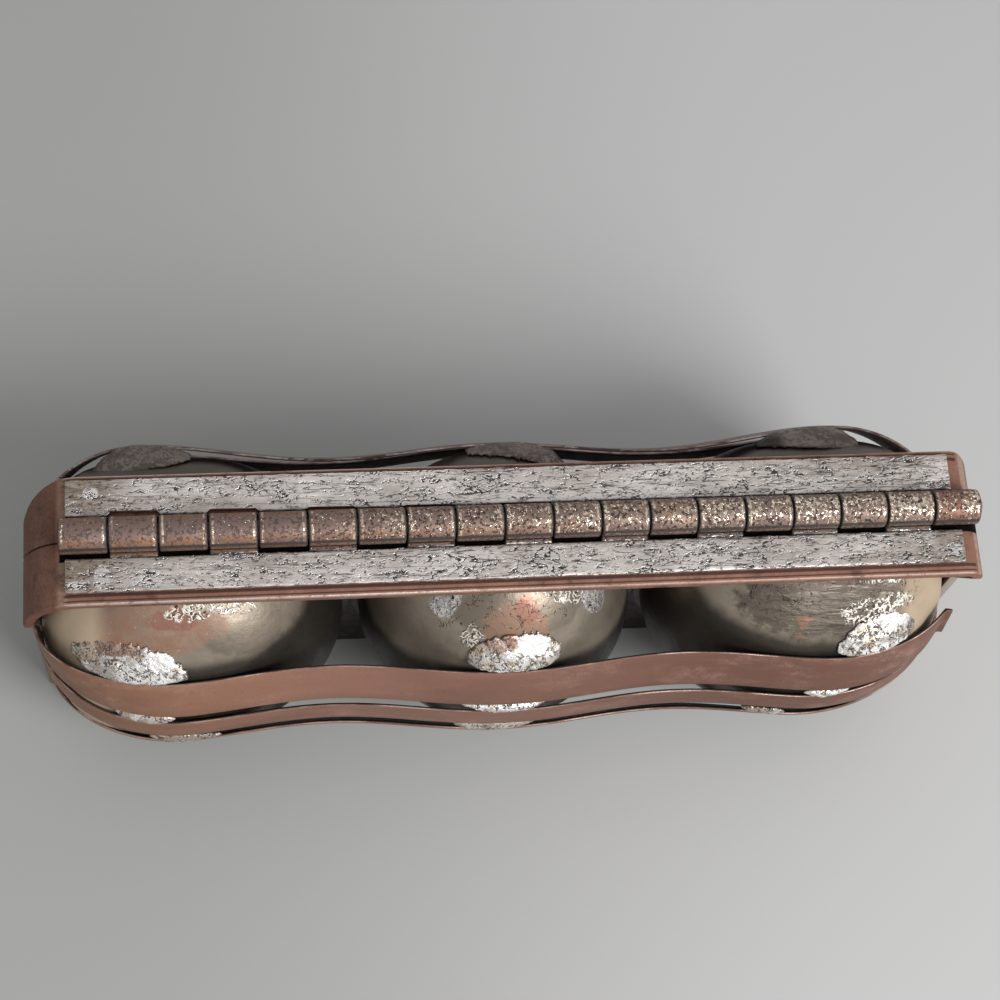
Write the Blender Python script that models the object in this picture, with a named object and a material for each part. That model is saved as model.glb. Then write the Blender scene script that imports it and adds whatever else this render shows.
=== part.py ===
"""Hinged two-part mould of tinned sheet steel for three chocolate eggs, stood on its open edge."""

import math

import bmesh
import bpy
from mathutils import Vector

for obj in list(bpy.data.objects):
    bpy.data.objects.remove(obj, do_unlink=True)

# Sizes are in millimetres, measured from the hinge axis: X along the hinge, Y to the rear, Z up.
# The front half is drawn, and the rear half is its mirror across the parting plane.
MM = 0.001
PARTING_GAP = 0.15
SOLDER_GAP = 0.3

# Hinge: nineteen knuckles at half-inch pitch, rolled from the two leaves
KNUCKLES = 19
KNUCKLE_PITCH = 12.7
KNUCKLE_GAP = 0.3
HINGE_SHIFT = 4.65
HINGE_START = HINGE_SHIFT - KNUCKLES * KNUCKLE_PITCH / 2
HINGE_END = HINGE_SHIFT + KNUCKLES * KNUCKLE_PITCH / 2
BARREL_RADIUS = 4.75
LEAF_THICK = 1.5
BORE_RADIUS = BARREL_RADIUS - LEAF_THICK
LEAF_TOP = -1.3
LEAF_BOTTOM = LEAF_TOP - LEAF_THICK
LEAF_REACHES = {"rear": 16.0, "front": 15.0}
NOTCH_CLEARANCE = 1.25
LEAF_NOTCH = BARREL_RADIUS + NOTCH_CLEARANCE
LEAF_INSET = 1.6
LEAF_SHORTFALLS = {"rear": 5.9, "front": 4.5}
LEAF_START = HINGE_START + LEAF_INSET
LEAF_BEND = 0.6
ROLL_START = math.radians(217)
ROLL_SWEEP = math.radians(331)
ROLL_STEPS = 17
BARREL_CLEARANCE = 0.3
PIN_CLEARANCE = 0.75
PIN_RADIUS = BORE_RADIUS - PIN_CLEARANCE
PIN_SIDES = 16
PIN_INSET = 0.5
PIN_STAND_OUT = 1.1
PIN_START = HINGE_START + PIN_INSET
PIN_END = HINGE_END + PIN_STAND_OUT
PIN_ROUNDING = 0.9

# Shells: pressed half eggs with a narrow flange, the end ones wider and fuller towards the side bars
SHELL_THICK = 0.8
CENTRE_HALF_WIDTH = 38.0
END_HALF_WIDTH = 40.4
HALF_WIDTHS = {"left": END_HALF_WIDTH, "centre": CENTRE_HALF_WIDTH, "right": END_HALF_WIDTH}
SHELL_HALF_HEIGHT = 41.5
SHELL_DEPTH = 35.7
SHELL_SPACING = 4.2
SHELL_PITCH = CENTRE_HALF_WIDTH + SHELL_SPACING + END_HALF_WIDTH
SHELLS = {"left": -SHELL_PITCH, "centre": 0.0, "right": SHELL_PITCH}
EGG_TAPER = 0.06
OUTWARD = {"left": -1, "centre": 0, "right": 1}
FLANK_HEIGHT_POWER = 3.5
FLANK_DEPTH_POWER = 2.5
FLANGE_WIDTH = 1.7
EGG_SIDES = 28
EGG_RINGS = (10, 23, 37, 52, 67, 80)

# Frame: a flat bar bent down at both ends, around the shells and their margins
BAR_THICK = 3.0
BAR_WIDTH = 17.6
SIDE_WIDTH = 11.0
END_MARGIN = 0.5
TOP_MARGIN = 2.4
FOOT_MARGIN = 3.5
FRAME_HALF_LENGTH = SHELL_PITCH + END_HALF_WIDTH + END_MARGIN + BAR_THICK
SIDE_INNER = FRAME_HALF_LENGTH - BAR_THICK
BAR_TOP = LEAF_BOTTOM - SOLDER_GAP
BAR_UNDER = BAR_TOP - BAR_THICK
SHELL_MIDDLE = BAR_UNDER - TOP_MARGIN - SHELL_HALF_HEIGHT
FOOT_Z = SHELL_MIDDLE - SHELL_HALF_HEIGHT - FOOT_MARGIN
CORNER_STEPS = 7
FRAME_EDGE_BEVEL = 0.4
CORNER_RADII = {"rear": (16.0, 7.0), "front": (16.0, 5.0)}
TAPERS = {"rear": ((-4.0, -15.0), (-4.0, -14.0)), "front": ((-20.0, -34.0), (-8.0, -26.0))}

# Mating plate: sheet with three egg-shaped openings, held inside the frame
PLATE_THICK = 0.8
PLATE_BACK = PARTING_GAP + PLATE_THICK
FLANGE_BACK = PLATE_BACK + SOLDER_GAP + SHELL_THICK

# Straps: flat bands across the backs of the shells, each at a height from their middle
STRAP_HEIGHTS = {"upper": 16.7, "middle": 2.35, "lower": -18.0}
STRAP_WIDTHS = {"upper": 12.6, "middle": 8.7, "lower": 10.0}
STRAP_THICK = 0.9
STRAP_STAND_OFF = 1.5
REAR_UPPER_SPREAD = 2.4
STRAP_DIP = 4.0
STRAP_WAVE_SHIFT = 12.0
STRAP_WAVE = SHELL_PITCH + STRAP_WAVE_SHIFT
STRAP_TURN_SHIFTS = {"rear": 14.0, "front": 5.4}
TIGHT_TURN_SHIFT = 2.6
STRAP_END_X = FRAME_HALF_LENGTH - BAR_THICK / 2
STRAP_STEPS = 18
TURN_STEPS = 7
BROKEN_END_ANGLE = math.radians(66)
BROKEN_CURL = 1.6

# Solder: a bead on top of each strap against each shell, as offset from the shell's middle and width
BEADS = {
    "front": {
        "upper": {"left": (-17.0, 30.0), "centre": (1.5, 25.0), "right": (18.0, 22.0)},
        "middle": {"left": (-14.0, 16.0), "centre": (0.0, 25.0), "right": (7.0, 13.0)},
        "lower": {"left": (-4.0, 20.0), "centre": (-2.0, 26.0), "right": (-7.0, 12.0)},
    },
    "rear": {
        "upper": {"left": (-13.5, 27.0), "centre": (6.0, 27.0), "right": (5.5, 29.0)},
        "middle": {"left": (-14.0, 8.0), "centre": (0.0, 12.5), "right": (7.0, 6.5)},
        "lower": {"left": (-4.0, 10.0), "centre": (-2.0, 13.0), "right": (-7.0, 6.0)},
    },
}
BEAD_HEIGHTS = {
    "front": {"upper": 8.5, "middle": 2.4, "lower": 5.0},
    "rear": {"upper": 7.0, "middle": 1.2, "lower": 2.5},
}
BEAD_STEPS = 8
BEAD_LIP = 0.5

STEEL_BROWN = ((0.24, 0.15, 0.11, 1), 0.5, 0.75)
TIN_GREY = ((0.60, 0.58, 0.54, 1), 0.38, 0.95)
TIN_DULL = ((0.42, 0.38, 0.31, 1), 0.42, 0.9)
KNUCKLE_BRONZE = ((0.45, 0.35, 0.27, 1), 0.42, 0.9)
SOLDER_WHITE = ((0.78, 0.77, 0.74, 1), 0.35, 0.95)


def half_empty(name):
    """The empty that carries one half, on the hinge axis."""
    empty = bpy.data.objects.new(name, None)
    empty.location = (0, 0, -FOOT_Z * MM)
    bpy.context.scene.collection.objects.link(empty)
    return empty


def finish(name, look):
    """A metal with the colour, roughness and metallic value of look."""
    colour, roughness, metallic = look
    material = bpy.data.materials.new(name)
    material.use_nodes = True
    shader = material.node_tree.nodes["Principled BSDF"]
    shader.inputs["Base Color"].default_value = colour
    shader.inputs["Roughness"].default_value = roughness
    shader.inputs["Metallic"].default_value = metallic
    return material


def mirrored(bm, side):
    """Turns the drawn front piece into its rear twin where side says so."""
    if side == "rear":
        for vert in bm.verts:
            vert.co.y = -vert.co.y
        bmesh.ops.reverse_faces(bm, faces=bm.faces[:])


def add_piece(name, bm, side, look, smooth_degrees=None):
    """Makes the object of one piece from its mesh in millimetres, carried by its half."""
    mirrored(bm, side)
    bmesh.ops.scale(bm, vec=(MM, MM, MM), verts=bm.verts)
    mesh = bpy.data.meshes.new(name)
    bm.to_mesh(mesh)
    bm.free()
    piece = bpy.data.objects.new(name, mesh)
    bpy.context.scene.collection.objects.link(piece)
    piece.parent = halves[side]
    if look is None:
        piece.hide_render = True
        piece.display_type = "WIRE"
    else:
        mesh.materials.append(finish(name, look))
    if smooth_degrees:
        mesh.shade_smooth()
        mesh.set_sharp_from_angle(angle=math.radians(smooth_degrees))
    return piece


def prism(outline, axis, start, end):
    """A closed mesh: the outline, given in the plane across the axis, drawn out from start to end."""
    bm = bmesh.new()
    corners = {
        "y": lambda a, b: (a, start, b),
        "x": lambda a, b: (start, a, b),
    }[axis]
    face = bm.faces.new([bm.verts.new(corners(a, b)) for a, b in outline])
    drawn = bmesh.ops.extrude_face_region(bm, geom=[face], use_keep_orig=True)
    moved = [item for item in drawn["geom"] if isinstance(item, bmesh.types.BMVert)]
    reach = Vector((end - start, 0, 0) if axis == "x" else (0, end - start, 0))
    bmesh.ops.translate(bm, vec=reach, verts=moved)
    bmesh.ops.recalc_face_normals(bm, faces=bm.faces[:])
    return bm


def corner_arc(centre_x, centre_z, radius, start_degrees, end_degrees):
    """Points of a quarter turn, seen from the front."""
    points = []
    for step in range(CORNER_STEPS + 1):
        angle = math.radians(start_degrees + (end_degrees - start_degrees) * step / CORNER_STEPS)
        points.append((centre_x + radius * math.cos(angle), centre_z + radius * math.sin(angle)))
    return points


def arch(half_length, top, radii, foot):
    """The outline from the left foot over both rounded corners to the right foot."""
    left, right = radii
    points = [(-half_length, foot)]
    points += corner_arc(-half_length + left, top - left, left, 180, 90)
    points += corner_arc(half_length - right, top - right, right, 90, 0)
    points.append((half_length, foot))
    return points


def cut(piece, name, cutter_bm, side):
    """Takes the cutter's shape out of the piece."""
    cutter = add_piece(name, cutter_bm, side, None)
    modifier = piece.modifiers.new(name, "BOOLEAN")
    modifier.solver = "EXACT"
    modifier.operation = "DIFFERENCE"
    modifier.object = cutter


def add_frame(side):
    """The flat bar bent down at both ends, narrower below its corners and hollowed under the barrel."""
    radii = CORNER_RADII[side]
    inner_radii = tuple(radius - BAR_THICK for radius in radii)
    outer = arch(FRAME_HALF_LENGTH, BAR_TOP, radii, FOOT_Z)
    inner = arch(FRAME_HALF_LENGTH - BAR_THICK, BAR_UNDER, inner_radii, FOOT_Z)
    frame_bm = prism(outer + inner[::-1], "y", -BAR_WIDTH, -PARTING_GAP)
    frame = add_piece(side + "_frame", frame_bm, side, STEEL_BROWN, 35)
    bevel = frame.modifiers.new("worn_edges", "BEVEL")
    bevel.width = FRAME_EDGE_BEVEL * MM
    bevel.segments = 1
    bevel.limit_method = "ANGLE"
    bevel.angle_limit = math.radians(50)
    beyond = 20.0
    hollow_radius = BARREL_RADIUS + BARREL_CLEARANCE
    hollow = bmesh.new()
    bmesh.ops.create_cone(
        hollow,
        cap_ends=True,
        segments=24,
        radius1=hollow_radius,
        radius2=hollow_radius,
        depth=2 * (FRAME_HALF_LENGTH + beyond),
    )
    turn = laid_along_hinge()
    bmesh.ops.transform(hollow, matrix=turn, verts=hollow.verts)
    cut(frame, side + "_barrel_hollow", hollow, side)
    for place, sign in (("left", -1), ("right", 1)):
        high, low = TAPERS[side][sign > 0]
        wedge = [
            (-SIDE_WIDTH, FOOT_Z - beyond),
            (-SIDE_WIDTH, low),
            (-BAR_WIDTH, high),
            (-BAR_WIDTH - beyond, high),
            (-BAR_WIDTH - beyond, FOOT_Z - beyond),
        ]
        near = sign * (FRAME_HALF_LENGTH - BAR_THICK - beyond)
        far = sign * (FRAME_HALF_LENGTH + beyond)
        cut(frame, side + "_taper_" + place, prism(wedge, "x", near, far), side)
    return frame


def laid_along_hinge():
    """The turn that lays an upright cylinder along the hinge axis."""
    return Vector((0, 0, 1)).rotation_difference(Vector((1, 0, 0))).to_matrix().to_4x4()


def row_share(place, offset, height):
    """How wide the egg is at a height, as a share of its full width, fuller towards a side bar."""
    power = FLANK_HEIGHT_POWER if offset * OUTWARD[place] > 0 else 2
    return max(0.0, 1 - abs(height) ** power) ** (1 / power) * (1 - EGG_TAPER * height)


def egg_outline(place, half_width, half_height, grow=0.0):
    """The egg's outline seen from the front, narrower at the top, grown outward by grow."""
    centre = SHELLS[place]

    def point(angle):
        across = math.cos(angle)
        row = half_width * row_share(place, across, math.sin(angle))
        return Vector((math.copysign(row, across), half_height * math.sin(angle)))

    outline = []
    for step in range(EGG_SIDES):
        angle = 2 * math.pi * step / EGG_SIDES
        along = point(angle + 0.01) - point(angle - 0.01)
        outward = Vector((along.y, -along.x)).normalized()
        at = point(angle) + outward * grow
        outline.append((centre + at.x, SHELL_MIDDLE + at.y))
    return outline


def shell_reach(place, offset, z, grow=0.0):
    """How far a shell's outer face stands in front of its flange, at an offset from its middle."""
    height = (z - SHELL_MIDDLE) / (SHELL_HALF_HEIGHT + grow)
    crown = (SHELL_DEPTH + grow) * row_share("centre", 0, height)
    row = (HALF_WIDTHS[place] + grow) * row_share(place, offset, height)
    power = FLANK_DEPTH_POWER if offset * OUTWARD[place] > 0 else 2
    across = min(abs(offset) / row, 1) if row else 1
    return crown * (1 - across**power) ** (1 / power)


def add_plate(side):
    """The mating plate: sheet between the side bars with the three openings."""
    edge = SIDE_INNER - SOLDER_GAP
    top = BAR_UNDER - SOLDER_GAP
    radii = tuple(radius - BAR_THICK - SOLDER_GAP for radius in CORNER_RADII[side])
    loops = [arch(edge, top, radii, FOOT_Z)]
    for place in SHELLS:
        half_width = HALF_WIDTHS[place] - SHELL_THICK
        half_height = SHELL_HALF_HEIGHT - SHELL_THICK
        loops.append(egg_outline(place, half_width, half_height))
    bm = bmesh.new()
    edges = []
    for loop in loops:
        verts = [bm.verts.new((x, -PLATE_BACK, z)) for x, z in loop]
        edges += [bm.edges.new((vert, verts[i - 1])) for i, vert in enumerate(verts)]
    filled = bmesh.ops.triangle_fill(bm, use_beauty=True, edges=edges, normal=(0, -1, 0))
    faces = [item for item in filled["geom"] if isinstance(item, bmesh.types.BMFace)]
    drawn = bmesh.ops.extrude_face_region(bm, geom=faces, use_keep_orig=True)
    moved = [item for item in drawn["geom"] if isinstance(item, bmesh.types.BMVert)]
    bmesh.ops.translate(bm, vec=(0, PLATE_THICK, 0), verts=moved)
    bmesh.ops.recalc_face_normals(bm, faces=bm.faces[:])
    return add_piece(side + "_plate", bm, side, TIN_DULL)


def add_shell(side, place):
    """One pressed half egg with its flange, as a skin that is then given its thickness."""
    centre = SHELLS[place]
    half_width = HALF_WIDTHS[place]
    limit = SIDE_INNER - SOLDER_GAP / 2
    bm = bmesh.new()
    outline = egg_outline(place, half_width, SHELL_HALF_HEIGHT)
    flange = egg_outline(place, half_width, SHELL_HALF_HEIGHT, FLANGE_WIDTH)
    flange = [(min(max(x, -limit), limit), z) for x, z in flange]
    rings = [
        [bm.verts.new((x, -FLANGE_BACK, z)) for x, z in flange],
        [bm.verts.new((x, -FLANGE_BACK, z)) for x, z in outline],
    ]
    for degrees in EGG_RINGS:
        share = math.cos(math.radians(degrees))
        ring = []
        for x, z in outline:
            offset = (x - centre) * share
            height = SHELL_MIDDLE + (z - SHELL_MIDDLE) * share
            reach = FLANGE_BACK + shell_reach(place, offset, height)
            at = (centre + offset, -reach, height)
            ring.append(bm.verts.new(at))
        rings.append(ring)
    for outer, inner in zip(rings, rings[1:]):
        for i in range(EGG_SIDES):
            bm.faces.new((outer[i - 1], outer[i], inner[i], inner[i - 1]))
    reach = FLANGE_BACK + shell_reach(place, 0, SHELL_MIDDLE)
    apex = bm.verts.new((centre, -reach, SHELL_MIDDLE))
    for i in range(EGG_SIDES):
        bm.faces.new((rings[-1][i - 1], rings[-1][i], apex))
    bmesh.ops.recalc_face_normals(bm, faces=bm.faces[:])
    if apex.link_faces[0].normal.y > 0:
        bmesh.ops.reverse_faces(bm, faces=bm.faces[:])
    shell = add_piece(side + "_shell_" + place, bm, side, TIN_DULL, 40)
    solidify = shell.modifiers.new("sheet", "SOLIDIFY")
    solidify.thickness = SHELL_THICK * MM
    solidify.offset = -1
    solidify.use_even_offset = True
    return shell


def strap_edges(level):
    """The heights of a strap's upper and lower edges."""
    middle = SHELL_MIDDLE + STRAP_HEIGHTS[level]
    return middle + STRAP_WIDTHS[level] / 2, middle - STRAP_WIDTHS[level] / 2


def strap_reach(side, level, x, z):
    """How far the strap's outer face stands from the parting plane between the two turns."""
    full = FLANGE_BACK + shell_reach("centre", 0, z) + STRAP_STAND_OFF + STRAP_THICK
    wave = min(abs(x), STRAP_WAVE) / STRAP_WAVE
    if (side, level) == ("rear", "upper"):
        full += REAR_UPPER_SPREAD * wave**2
    return full - STRAP_DIP * (0.5 - 0.5 * math.cos(2 * math.pi * wave))


def side_reach(side, right, z):
    """How far a side bar stands from the parting plane at a height, with the solder gap."""
    high, low = TAPERS[side][right]
    share = min(max((z - low) / (high - low), 0), 1)
    return SIDE_WIDTH + (BAR_WIDTH - SIDE_WIDTH) * share + SOLDER_GAP


def turn_start(side, level, right):
    """How far out a strap starts to turn in: nearer on the front's two lower straps at the right."""
    tight = side == "front" and right and level != "upper"
    return SHELL_PITCH + (TIGHT_TURN_SHIFT if tight else STRAP_TURN_SHIFTS[side])


def strap_rail(side, level, z, broken):
    """Points of one edge of a strap, from its left end round the shells to its right end."""
    left_start = turn_start(side, level, False)
    right_start = turn_start(side, level, True)

    def turn(angle, right):
        start = right_start if right else left_start
        full = strap_reach(side, level, start, z)
        x = start + (STRAP_END_X - start) * math.sin(angle)
        end = side_reach(side, right, z)
        return x, end + (full - end) * math.cos(angle)

    points = []
    for step in range(TURN_STEPS, 0, -1):
        x, reach = turn(math.pi / 2 * step / TURN_STEPS, False)
        points.append(Vector((-x, -reach, z)))
    for step in range(STRAP_STEPS + 1):
        x = -left_start + (left_start + right_start) * step / STRAP_STEPS
        points.append(Vector((x, -strap_reach(side, level, x, z), z)))
    end = BROKEN_END_ANGLE if broken else math.pi / 2
    for step in range(1, TURN_STEPS + 1):
        x, reach = turn(end * step / TURN_STEPS, True)
        points.append(Vector((x, -reach, z)))
    if broken:
        points.append(points[-1] + Vector((BROKEN_CURL, -BROKEN_CURL / 4, 0)))
    return points


def add_strap(side, level):
    """One flat band, as a skin between its two edges that is then given its thickness."""
    broken = side == "front" and level == "upper"
    bm = bmesh.new()
    upper, lower = (
        [bm.verts.new(point) for point in strap_rail(side, level, z, broken)]
        for z in strap_edges(level)
    )
    for i in range(1, len(upper)):
        bm.faces.new((upper[i - 1], lower[i - 1], lower[i], upper[i]))
    strap = add_piece(side + "_strap_" + level, bm, side, STEEL_BROWN, 35)
    solidify = strap.modifiers.new("band", "SOLIDIFY")
    solidify.thickness = STRAP_THICK * MM
    solidify.offset = -1
    return strap


def add_bead(side, level, place):
    """One bead of solder, filling the corner between a strap's upper edge and a shell."""
    offset, width = BEADS[side][level][place]
    strap_z, strap_low = strap_edges(level)
    lean = strap_reach(side, level, 0, strap_z) - strap_reach(side, level, 0, strap_low)
    inner_edge_rise = STRAP_THICK * max(0, lean) / math.hypot(lean, strap_z - strap_low)
    floor = strap_z + inner_edge_rise + SOLDER_GAP
    centre = SHELLS[place]
    bm = bmesh.new()
    sections = []
    for step in range(BEAD_STEPS + 1):
        along = 2 * step / BEAD_STEPS - 1
        across = offset + along * width / 2
        round_off = math.sqrt(1 - 0.9 * along**2)
        height = BEAD_HEIGHTS[side][level] * round_off

        def skin(share):
            z = floor + height * share
            return FLANGE_BACK + shell_reach(place, across, z, SOLDER_GAP), z

        start = turn_start(side, level, across > 0)
        turned = max(0.0, abs(centre + across) - start) / (STRAP_END_X - start)
        end = side_reach(side, across > 0, strap_z)
        full = strap_reach(side, level, min(abs(centre + across), start), strap_z)
        thick = end + (full - end) * math.sqrt(1 - turned**2) - skin(0)[0]
        section = []
        for share, bulge in ((0, 0), (0, 1), (0.45, 0.72), (1, 0), (0.5, 0)):
            reach, z = skin(share)
            if bulge:
                reach += max(thick * bulge * round_off, BEAD_LIP)
            section.append(bm.verts.new((centre + across, -reach, z)))
        sections.append(section)
    for one, two in zip(sections, sections[1:]):
        for i in range(len(one)):
            bm.faces.new((one[i - 1], one[i], two[i], two[i - 1]))
    bm.faces.new(sections[0])
    bm.faces.new(sections[-1][::-1])
    bmesh.ops.recalc_face_normals(bm, faces=bm.faces[:])
    name = side + "_solder_" + level + "_" + place
    return add_piece(name, bm, side, SOLDER_WHITE, 60)


def add_leaf(side):
    """A hinge leaf: the flat strip, and every second knuckle rolled out of its inner edge."""
    own = 0 if side == "rear" else 1
    leaf_end = HINGE_END - LEAF_SHORTFALLS[side]
    leaf_reach = LEAF_REACHES[side]
    stations = [LEAF_START]
    for knuckle in range(1, KNUCKLES):
        boundary = HINGE_START + knuckle * KNUCKLE_PITCH
        stations += [boundary - KNUCKLE_GAP / 2, boundary + KNUCKLE_GAP / 2]
    stations.append(leaf_end)
    section = (
        (-leaf_reach, LEAF_TOP),
        (-leaf_reach, LEAF_BOTTOM),
        (-LEAF_NOTCH, LEAF_BOTTOM),
        (-LEAF_NOTCH, LEAF_TOP),
    )
    bm = bmesh.new()
    rows = [[bm.verts.new((x, y, z)) for y, z in section] for x in stations]
    tongues = []
    for i, (one, two) in enumerate(zip(rows, rows[1:])):
        for corner in range(4):
            face = bm.faces.new((one[corner - 1], one[corner], two[corner], two[corner - 1]))
            if corner == 3 and i % 2 == 0 and (i // 2) % 2 == own:
                tongues.append(face)
    bm.faces.new(rows[0])
    bm.faces.new(rows[-1][::-1])
    bmesh.ops.recalc_face_normals(bm, faces=bm.faces[:])
    roll_in = [(BORE_RADIUS * f(ROLL_START)) for f in (math.cos, math.sin)]
    roll_out = [(BARREL_RADIUS * f(ROLL_START)) for f in (math.cos, math.sin)]
    bends = (
        ((roll_out[0] - LEAF_BEND / 3, LEAF_TOP), (roll_out[0] - LEAF_BEND, LEAF_BOTTOM)),
        (roll_in, roll_out),
    )
    for face in tongues:
        for above, below in bends:
            drawn = bmesh.ops.extrude_face_region(bm, geom=[face])
            bmesh.ops.delete(bm, geom=[face], context="FACES_ONLY")
            verts = [item for item in drawn["geom"] if isinstance(item, bmesh.types.BMVert)]
            face = next(item for item in drawn["geom"] if isinstance(item, bmesh.types.BMFace))
            heights = sorted(verts, key=lambda vert: vert.co.z)
            for vert in heights[:2]:
                vert.co.y, vert.co.z = below
            for vert in heights[2:]:
                vert.co.y, vert.co.z = above
            for vert in verts:
                if abs(vert.co.x - LEAF_START) < KNUCKLE_GAP:
                    vert.co.x = HINGE_START
                if abs(vert.co.x - leaf_end) < KNUCKLE_GAP:
                    vert.co.x = HINGE_END
        bmesh.ops.spin(
            bm,
            geom=[face, *face.edges, *face.verts],
            cent=(0, 0, 0),
            axis=(1, 0, 0),
            angle=ROLL_SWEEP,
            steps=ROLL_STEPS,
            use_merge=False,
            use_duplicate=False,
        )
    bmesh.ops.recalc_face_normals(bm, faces=bm.faces[:])
    return add_piece(side + "_hinge_leaf", bm, side, TIN_GREY, 35)


def add_pin():
    """The hinge pin, with both ends rounded over."""
    bm = bmesh.new()
    bmesh.ops.create_cone(
        bm,
        cap_ends=True,
        segments=PIN_SIDES,
        radius1=PIN_RADIUS,
        radius2=PIN_RADIUS,
        depth=PIN_END - PIN_START,
    )
    rims = [edge for edge in bm.edges if abs(edge.verts[0].co.z - edge.verts[1].co.z) < 0.1]
    bmesh.ops.bevel(bm, geom=rims, offset=PIN_ROUNDING, segments=2, profile=0.5, affect="EDGES")
    bmesh.ops.transform(bm, matrix=laid_along_hinge(), verts=bm.verts)
    bmesh.ops.translate(bm, vec=((PIN_START + PIN_END) / 2, 0, 0), verts=bm.verts)
    return add_piece("hinge_pin", bm, "rear", KNUCKLE_BRONZE, 35)


halves = {side: half_empty(side + "_half") for side in ("rear", "front")}
for side in halves:
    add_frame(side)
    add_plate(side)
    add_leaf(side)
    for place in SHELLS:
        add_shell(side, place)
    for level in STRAP_HEIGHTS:
        add_strap(side, level)
        for place in SHELLS:
            add_bead(side, level, place)
add_pin()
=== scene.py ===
"""Hinged mould of tinned sheet steel for three chocolate eggs, stood on its open edge on a grey table."""

import math
import random

import bmesh
import bpy
from mathutils import Matrix, Vector, noise


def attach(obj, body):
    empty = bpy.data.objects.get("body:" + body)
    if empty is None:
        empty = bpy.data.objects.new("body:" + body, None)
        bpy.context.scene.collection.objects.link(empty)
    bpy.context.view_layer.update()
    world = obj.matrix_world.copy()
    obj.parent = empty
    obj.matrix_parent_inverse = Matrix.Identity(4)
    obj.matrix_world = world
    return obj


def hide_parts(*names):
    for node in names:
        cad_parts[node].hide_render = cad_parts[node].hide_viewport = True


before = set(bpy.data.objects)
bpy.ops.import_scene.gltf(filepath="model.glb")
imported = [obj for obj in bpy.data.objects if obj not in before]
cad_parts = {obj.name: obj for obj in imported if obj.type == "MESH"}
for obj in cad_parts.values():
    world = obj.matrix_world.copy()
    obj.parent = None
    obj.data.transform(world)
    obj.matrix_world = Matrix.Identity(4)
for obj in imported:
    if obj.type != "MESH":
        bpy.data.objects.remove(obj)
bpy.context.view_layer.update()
bpy.context.scene.view_settings.view_transform = "Standard"

# The view: from above and a little to the front and left, near enough for the perspective to show.
# The camera's place is worked out from nineteen equal knuckles and the outline of the frame.
MM = 0.001
HINGE_HEIGHT = 95.0
HEADING, DESCENT, ROLL = (math.radians(angle) for angle in (17.59, 68.66, -14.64))
CAMERA_DISTANCE = 594.6
AIM_RIGHT, AIM_UP = 2.62, -5.70
LENS = 82.26

forward = Vector(
    (math.sin(HEADING) * math.cos(DESCENT), math.cos(HEADING) * math.cos(DESCENT), -math.sin(DESCENT))
)
level_right = Vector((math.cos(HEADING), -math.sin(HEADING), 0))
level_up = level_right.cross(forward)
right = level_right * math.cos(ROLL) - level_up * math.sin(ROLL)
up = level_right * math.sin(ROLL) + level_up * math.cos(ROLL)
stand = Vector((0, 0, HINGE_HEIGHT)) - forward * CAMERA_DISTANCE - right * AIM_RIGHT - up * AIM_UP
turned = Matrix((right, up, -forward)).transposed().to_4x4()
turned.translation = stand * MM
bpy.ops.object.camera_add()
camera = bpy.context.object
camera.matrix_world = turned
camera.data.sensor_width = 36
camera.data.lens = LENS
bpy.context.scene.camera = camera

# The room: an even grey sky and one soft window of light from the right and a little to the front,
# which throws the mould's shadow back to the left over a plain grey table top. The table's colour
# is painted darker to the left and paler to the right, as painted light falling off from the window.
SKY = (0.52, 0.52, 0.53, 1)
WINDOW_WAY = Vector((0.46, -0.54, 0.705))
WINDOW_DISTANCE = 1.25
WINDOW_SIZE = 0.5
WINDOW_POWER = 12.5
TABLE_SIZE = 4
TABLE_SHADED_LEFT = (0.37, 0.375, 0.36, 1)
TABLE_LIT_RIGHT = (0.49, 0.49, 0.485, 1)


def feed(tree, node, inputs):
    """Gives each input of a shader node its value, or links it to the socket that feeds it."""
    for name, value in inputs.items():
        if isinstance(value, bpy.types.NodeSocket):
            tree.links.new(value, node.inputs[name])
        else:
            node.inputs[name].default_value = value


def put(tree, kind, settings=None, inputs=None):
    """Adds a shader node with its settings, each input a value or the socket that feeds it."""
    node = tree.nodes.new("ShaderNode" + kind)
    for name, value in (settings or {}).items():
        setattr(node, name, value)
    feed(tree, node, inputs or {})
    return node


def math_of(tree, kind, one, two=0.0):
    """One Math node on two values."""
    return put(tree, "Math", {"operation": kind}, {0: one, 1: two}).outputs[0]


def total(tree, one, two):
    """Two values added."""
    return math_of(tree, "ADD", one, two)


def less(tree, one, two):
    """One value less another."""
    return math_of(tree, "SUBTRACT", one, two)


def step_between(tree, value, low, high):
    """0 below low, 1 above high, and a smooth rise between."""
    node = put(tree, "MapRange", {"interpolation_type": "SMOOTHSTEP"}, {0: value, 1: low, 2: high})
    return node.outputs[0]


def below(tree, value, low, high):
    """1 below low, 0 above high, and a smooth fall between."""
    return less(tree, 1.0, step_between(tree, value, low, high))


def within(tree, value, low, high, soft):
    """1 between low and high, and 0 outside them."""
    rise = step_between(tree, value, low - soft, low + soft)
    return math_of(tree, "MULTIPLY", rise, below(tree, value, high - soft, high + soft))


def both(tree, *masks):
    """The masks multiplied, or a mask and the share of it to keep."""
    product = masks[0]
    for mask in masks[1:]:
        product = math_of(tree, "MULTIPLY", product, mask)
    return product


def either(tree, one, two):
    """The larger of two masks."""
    return math_of(tree, "MAXIMUM", one, two)


def layered(tree, base, *layers):
    """A colour with others laid over it in turn, each a mask and the colour where it is 1."""
    for mask, over in layers:
        base = put(tree, "Mix", {"data_type": "RGBA"}, {0: mask, 6: base, 7: over}).outputs[2]
    return base


def levelled(tree, base, *layers):
    """A number with others laid over it in turn, each a mask and the number where it is 1."""
    for mask, over in layers:
        base = put(tree, "Mix", {"data_type": "FLOAT"}, {0: mask, 2: base, 3: over}).outputs[0]
    return base


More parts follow.
